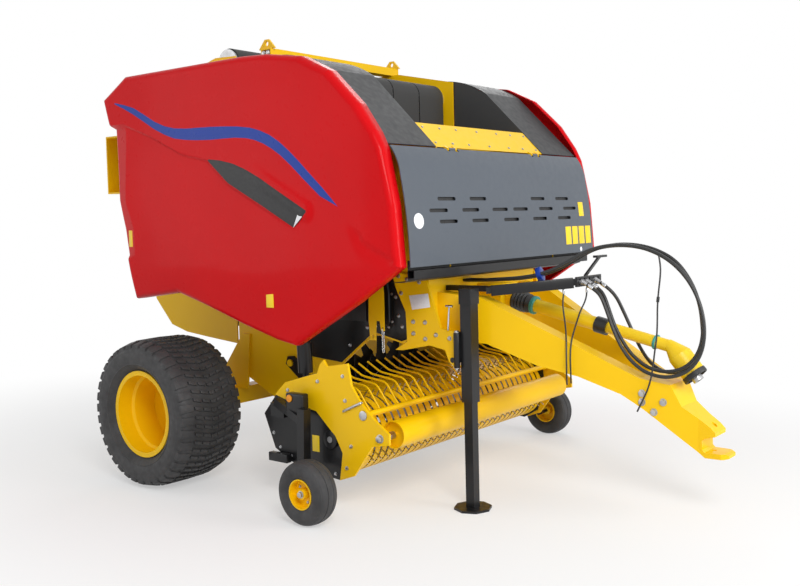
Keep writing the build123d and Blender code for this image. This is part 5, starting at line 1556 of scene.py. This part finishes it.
@dataclass
class DrivelineTrim:
    """The teal rings and the dark mouth on the driveline's guard, as sections of (along, radius)."""

    root: tuple[float, float] = (2100, 1252)
    bend: tuple[float, float] = (3215, 1002)
    tilt: float = 50.0
    wide_ring: Line = ((0, 45), (0, 58), (4, 61), (22, 61), (26, 58), (26, 45))
    wide_along: float = 142.0
    slim_ring: Line = ((0, 38), (0, 44), (3, 46), (13, 46), (16, 44), (16, 38))
    slim_along: float = 1020.0
    mouth: Line = ((-26, 72.3), (-26, 76), (0, 77), (6, 74), (6, 66), (0, 65.8), (-8, 66))
    mouth_along: float = 215.0

    def build(self) -> None:
        """Builds the rings on the fixed guard."""
        start = spot(self.root[0], 0, self.root[1])
        end = spot(self.bend[0], 0, self.bend[1])
        along = (end - start).normalized()
        tilt = math.radians(self.tilt)
        nose = Vector((math.cos(tilt), 0, -math.sin(tilt)))
        shape = Shape("driveline_rings")
        wide_seat = pointing(start + along * self.wide_along * MM, along)
        shape.add(turned(self.wide_ring), Finish.TEAL, (wide_seat,))
        slim_seat = pointing(start + along * self.slim_along * MM, along)
        shape.add(turned(self.slim_ring), Finish.TEAL, (slim_seat,))
        mouth_seat = pointing(end + nose * self.mouth_along * MM, nose)
        shape.add(turned(self.mouth), Finish.BLACK_PLASTIC, (mouth_seat,))
        shape.place("frame", "guard_yellow")


@dataclass
class DarkPanels:
    """The black panels on the lower walls, whose black is partly painted shade under the side covers, and
    the dark apron under the hood.
    """

    panel_and_shade: Line = (
        (700, 866), (1096, 838), (1392, 1064), (1630, 1014), (1686, 1036), (1680, 1205),
        (1602, 1355), (1572, 1500), (700, 1500),
    )
    panel_out: float = 630.1
    hatch: Line = ((1100, 1130), (1340, 1130), (1340, 1380), (1100, 1380))
    hatch_out: float = 632.0
    screws: Line = (
        (1350, 1462), (1368, 1360), (1590, 1300), (1610, 1180), (1640, 1110), (1340, 1090), (1180, 960),
    )
    screw_size: float = 12.0
    screw_out: float = 633.0
    apron: Line = ((2026, 1562), (2026, 1444), (1990, 1432), (1900, 1428))
    apron_half: float = 1040.0
    apron_thick: float = 3.0

    def build(self) -> None:
        """Builds the panels with their screws, and the apron."""
        shape = Shape("wall_panels_and_shade")
        for side in Side:
            # The wall panel lies deep under the side cover; its black is partly painted shade.
            shape.add(plate(self.panel_and_shade, 3, 1), Finish.BLACK_PAINT, (flank(side, self.panel_out),))
            shape.add(plate(self.hatch, 12, 4), Finish.BLACK_PLASTIC, (flank(side, self.hatch_out),))
        seats = [on_flank(side, self.screw_out, *place) for side in Side for place in self.screws]
        shape.add(bolt_head(self.screw_size), Finish.STEEL, seats)
        shape.place("frame", "black_metal")
        under = Shape("front_apron")
        under.add(bent_sheet(self.apron, self.apron_half, self.apron_thick), Finish.BLACK_PLASTIC)
        under.place("frame", "black_metal")


@dataclass
class HangingChain:
    """Round-wire links, each turned by a quarter from the last, in place of the plain chain."""

    top: Point = (1548, -720, 1107.5)
    links: int = 7
    long: float = 34.0
    pitch: float = 21.7
    wire: float = 3.0
    half_long: float = 6.5
    half_wide: float = 8.0
    corners: int = 16

    def link(self, data: bpy.types.Curve, number: int) -> None:
        """Adds one link as a closed line: two half rounds with straight sides between them.

        Args:
            data: The chain's curve.
            number: The link's number from the top, from 0.
        """
        x, y, z = self.top
        middle = spot(x, y, z - self.long / 2 - self.pitch * number)
        turn = Matrix.Rotation(math.pi / 2 * (number + 1), 3, "Z")
        line = data.splines.new("POLY")
        line.points.add(self.corners - 1)
        line.use_cyclic_u = True
        for step, point in enumerate(line.points):
            angle = math.tau * (step + 0.5) / self.corners
            end = math.copysign(self.half_long, math.sin(angle))
            flat = Vector((math.cos(angle) * self.half_wide, 0, math.sin(angle) * self.half_wide + end))
            point.co = (*(middle + turn @ (flat * MM)), 1)

    def build(self) -> None:
        """Builds the chain in place of its node."""
        data = bpy.data.curves.new("holding_chain_links", "CURVE")
        data.dimensions = "3D"
        data.bevel_depth = self.wire * MM
        data.bevel_resolution = 3
        for number in range(self.links):
            self.link(data, number)
        data.materials.append(Finish.CHROME.material())
        piece = bpy.data.objects.new("holding_chain_links", data)
        bpy.context.collection.objects.link(piece)
        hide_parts("holding_chain")
        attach(piece, "frame")
        LOG.info("holding_chain_links: %d links", self.links)


@dataclass
class PickupTrim:
    """The pickup's trim: clamps, caps, the cheek's handle, a blank plate, the ram's sleeve, roller nuts.

    A seat is (out from the middle, ahead of the axle, height).
    """

    clamp: Point = (150, 130, 62)
    clamp_seat: Point = (1180, 1215, 662)
    knob_seat: Point = (1211, 1180, 694)
    reel_cap_seat: Point = (1092, 1420, 440)
    foot: Point = (170, 56, 44)
    foot_seat: Point = (1125, 985, 275)
    ram: tuple[Point, Point] = ((1000, -900, 1300), (1020, -900, 740))
    ram_sleeve: Line = ((300, 41), (300, 50), (500, 50), (500, 20.3), (492, 20.3), (492, 41))
    handle: tuple[Point, Point] = ((1550, -1118, 635), (1697, -1118, 701))
    handle_post: tuple[float, float] = (7, 12)
    post_in: float = 11.0
    bar_cap_seat: Point = (1108, 1706, 623)
    mark: tuple[float, float] = (60, 104)
    mark_seat: Point = (1093, 1283, 396)
    roller_nut_seat: Point = (1108, 1836, 497)
    roller_stub_seat: Point = (985, 1836, 497)

    def both(self, seat: Point) -> list[Matrix]:
        """Returns the placements on both sides at a seat of (out, ahead, height)."""
        return [on_flank(side, *seat) for side in Side]

    def build_dark(self) -> None:
        """Builds the black pieces on the pickup and on the ram's rod."""
        shape = Shape("pickup_clamps")
        shape.add(block(self.clamp, 12, 3), Finish.BLACK_PAINT, self.both(self.clamp_seat))
        shape.add(round_bar(23, 9, 32, 2), Finish.AMBER, self.both(self.knob_seat))
        shape.add(round_bar(58, 16, 40, 4), Finish.BLACK_PAINT, self.both(self.reel_cap_seat))
        shape.add(block(self.foot, 4, 3), Finish.BLACK_PAINT, self.both(self.foot_seat))
        shape.place("pickup", "black_metal")
        sleeve = Shape("lift_sleeve")
        base, eye = spot(*self.ram[0]), spot(*self.ram[1])
        sleeve.add(turned(self.ram_sleeve), Finish.BLACK_PAINT, (pointing(base, eye - base),))
        sleeve.place("lift_ram_rod", "black_metal")

    def build_metal(self) -> None:
        """Builds the handle, the caps, the blank plate and the roller's ends."""
        metal = Shape("pickup_fittings")
        start, end = spot(*self.handle[0]), spot(*self.handle[1])
        grip = round_bar(8, (end - start).length / MM, 20, 2)
        metal.add(grip, Finish.STEEL, (pointing(start, end - start),))
        for place in (start, end):
            foot = place + Vector((0, self.post_in * MM, 0))
            metal.add(round_bar(*self.handle_post, 16), Finish.STEEL, (pointing(foot, TO_THE_RIGHT),))
        metal.add(round_bar(30, 7, 32, 2), Finish.STEEL, self.both(self.bar_cap_seat))
        metal.place("pickup", "roller_steel")
        mark = Shape("end_plate_mark")
        mark.add(blank_plate(*self.mark), Finish.LABEL_YELLOW, (on_flank(Side.RIGHT, *self.mark_seat),))
        mark.place("pickup", "black_metal")
        nuts = Shape("roller_nuts")
        nuts.add(bolt_head(26), Finish.STEEL, self.both(self.roller_nut_seat))
        nuts.add(round_bar(24, 88, 32, 3), Finish.STEEL, self.both(self.roller_stub_seat))
        nuts.place("roller", "roller_steel")

    def build(self) -> None:
        """Builds the trim on the pickup, the ram and the roller."""
        self.build_dark()
        self.build_metal()


@dataclass
class FrontTrim:
    """The sleeve beside the jack, the arm's cover, the T-shaped pin and the front plate's blank sign."""

    sleeve: Point = (2098, -672, 884)
    sleeve_high: float = 1102.0
    sleeve_radius: float = 19.0
    bracket: Point = (30, 30, 150)
    bracket_place: Point = (2098, -652, 1000)
    arm: tuple[Point, Point] = ((2196, -429, 1344), (2632, -161, 1386))
    arm_cover: tuple[float, float] = (46, 64)
    lug_hole: tuple[float, float] = (2048, 925)
    pin: tuple[Point, Point] = ((2026, -660, 1112), (2038, -660, 1262))
    pin_radius: float = 6.0
    cross_radius: float = 8.0
    cross_long: float = 52.0
    plate_out: float = 650.0
    sign: Line = ((1714, 1316), (1738, 1226), (1882, 1248), (1868, 1334))

    def build_dark(self) -> None:
        """Builds the sleeve with its bracket, the arm's cover and black discs painted as the shade in the
        plates' lug holes.
        """
        dark = Shape("jack_sleeve")
        low = spot(*self.sleeve)
        tube = round_bar(self.sleeve_radius, self.sleeve_high - self.sleeve[2], 28, 3)
        dark.add(tube, Finish.BLACK_PAINT, (Matrix.Translation(low),))
        bracket_seat = Matrix.Translation(spot(*self.bracket_place))
        dark.add(block(self.bracket, 3), Finish.BLACK_PAINT, (bracket_seat,))
        start, end = spot(*self.arm[0]), spot(*self.arm[1])
        cover = block((*self.arm_cover, (end - start).length / MM), 3)
        dark.add(cover, Finish.BLACK_PAINT, (pointing((start + end) / 2, end - start),))
        # Black discs on the front plates stand in for the lug holes: painted shade.
        hole_shades = [on_flank(side, self.plate_out, *self.lug_hole) for side in Side]
        dark.add(round_bar(17, 2, 32), Finish.BLACK_PLASTIC, hole_shades)
        dark.place("frame", "black_metal")

    def build_metal(self) -> None:
        """Builds the sleeve's bolts and the T-shaped pin."""
        metal = Shape("front_pins")
        x, y, z = self.sleeve
        upper = Matrix.Translation(spot(x, y, self.sleeve_high))
        lower = Matrix.Translation(spot(x, y, z)) @ Matrix.Rotation(math.pi, 4, "X")
        for seat in (upper, lower):
            metal.add(bolt_head(16), Finish.STEEL, (seat,))
        start, end = spot(*self.pin[0]), spot(*self.pin[1])
        stem = round_bar(self.pin_radius, (end - start).length / MM, 20, 1)
        metal.add(stem, Finish.CHROME, (pointing(start, end - start),))
        cross = end - Vector((self.cross_long / 2 * MM, 0, 0))
        cross_bar = round_bar(self.cross_radius, self.cross_long, 20, 2)
        metal.add(cross_bar, Finish.CHROME, (pointing(cross, Vector((1, 0, 0))),))
        metal.place("frame", "roller_steel")

    def build(self) -> None:
        """Builds the trim at the front of the frame."""
        self.build_dark()
        self.build_metal()
        sign = Shape("front_sign")
        sign_seat = flank(Side.RIGHT, self.plate_out + 0.1)
        sign.add(plate(self.sign, 1.6, 0.4), Finish.WHITE_LABEL_AND_HIGHLIGHT, (sign_seat,))
        sign.place("frame", "frame_yellow")


def main() -> None:
    """Builds the scene in order and reports each step."""
    logging.basicConfig(level=logging.INFO, format="%(message)s")
    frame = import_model()
    bpy.context.scene.view_settings.view_transform = "Standard"
    Studio().build()
    for cord in CORDS:
        cord.build()
    dress_nodes(frame)
    for side in Side:
        SideShield(side).build()
        MainWheel(side).build()
        GaugeWheel(side).build()
    HoodTrim().build()
    Fasteners().build()
    DeckTrim().build()
    HoseFittings().build()
    DrivelineTrim().build()
    DarkPanels().build()
    HangingChain().build()
    PickupTrim().build()
    FrontTrim().build()


if __name__ == "__main__":
    main()
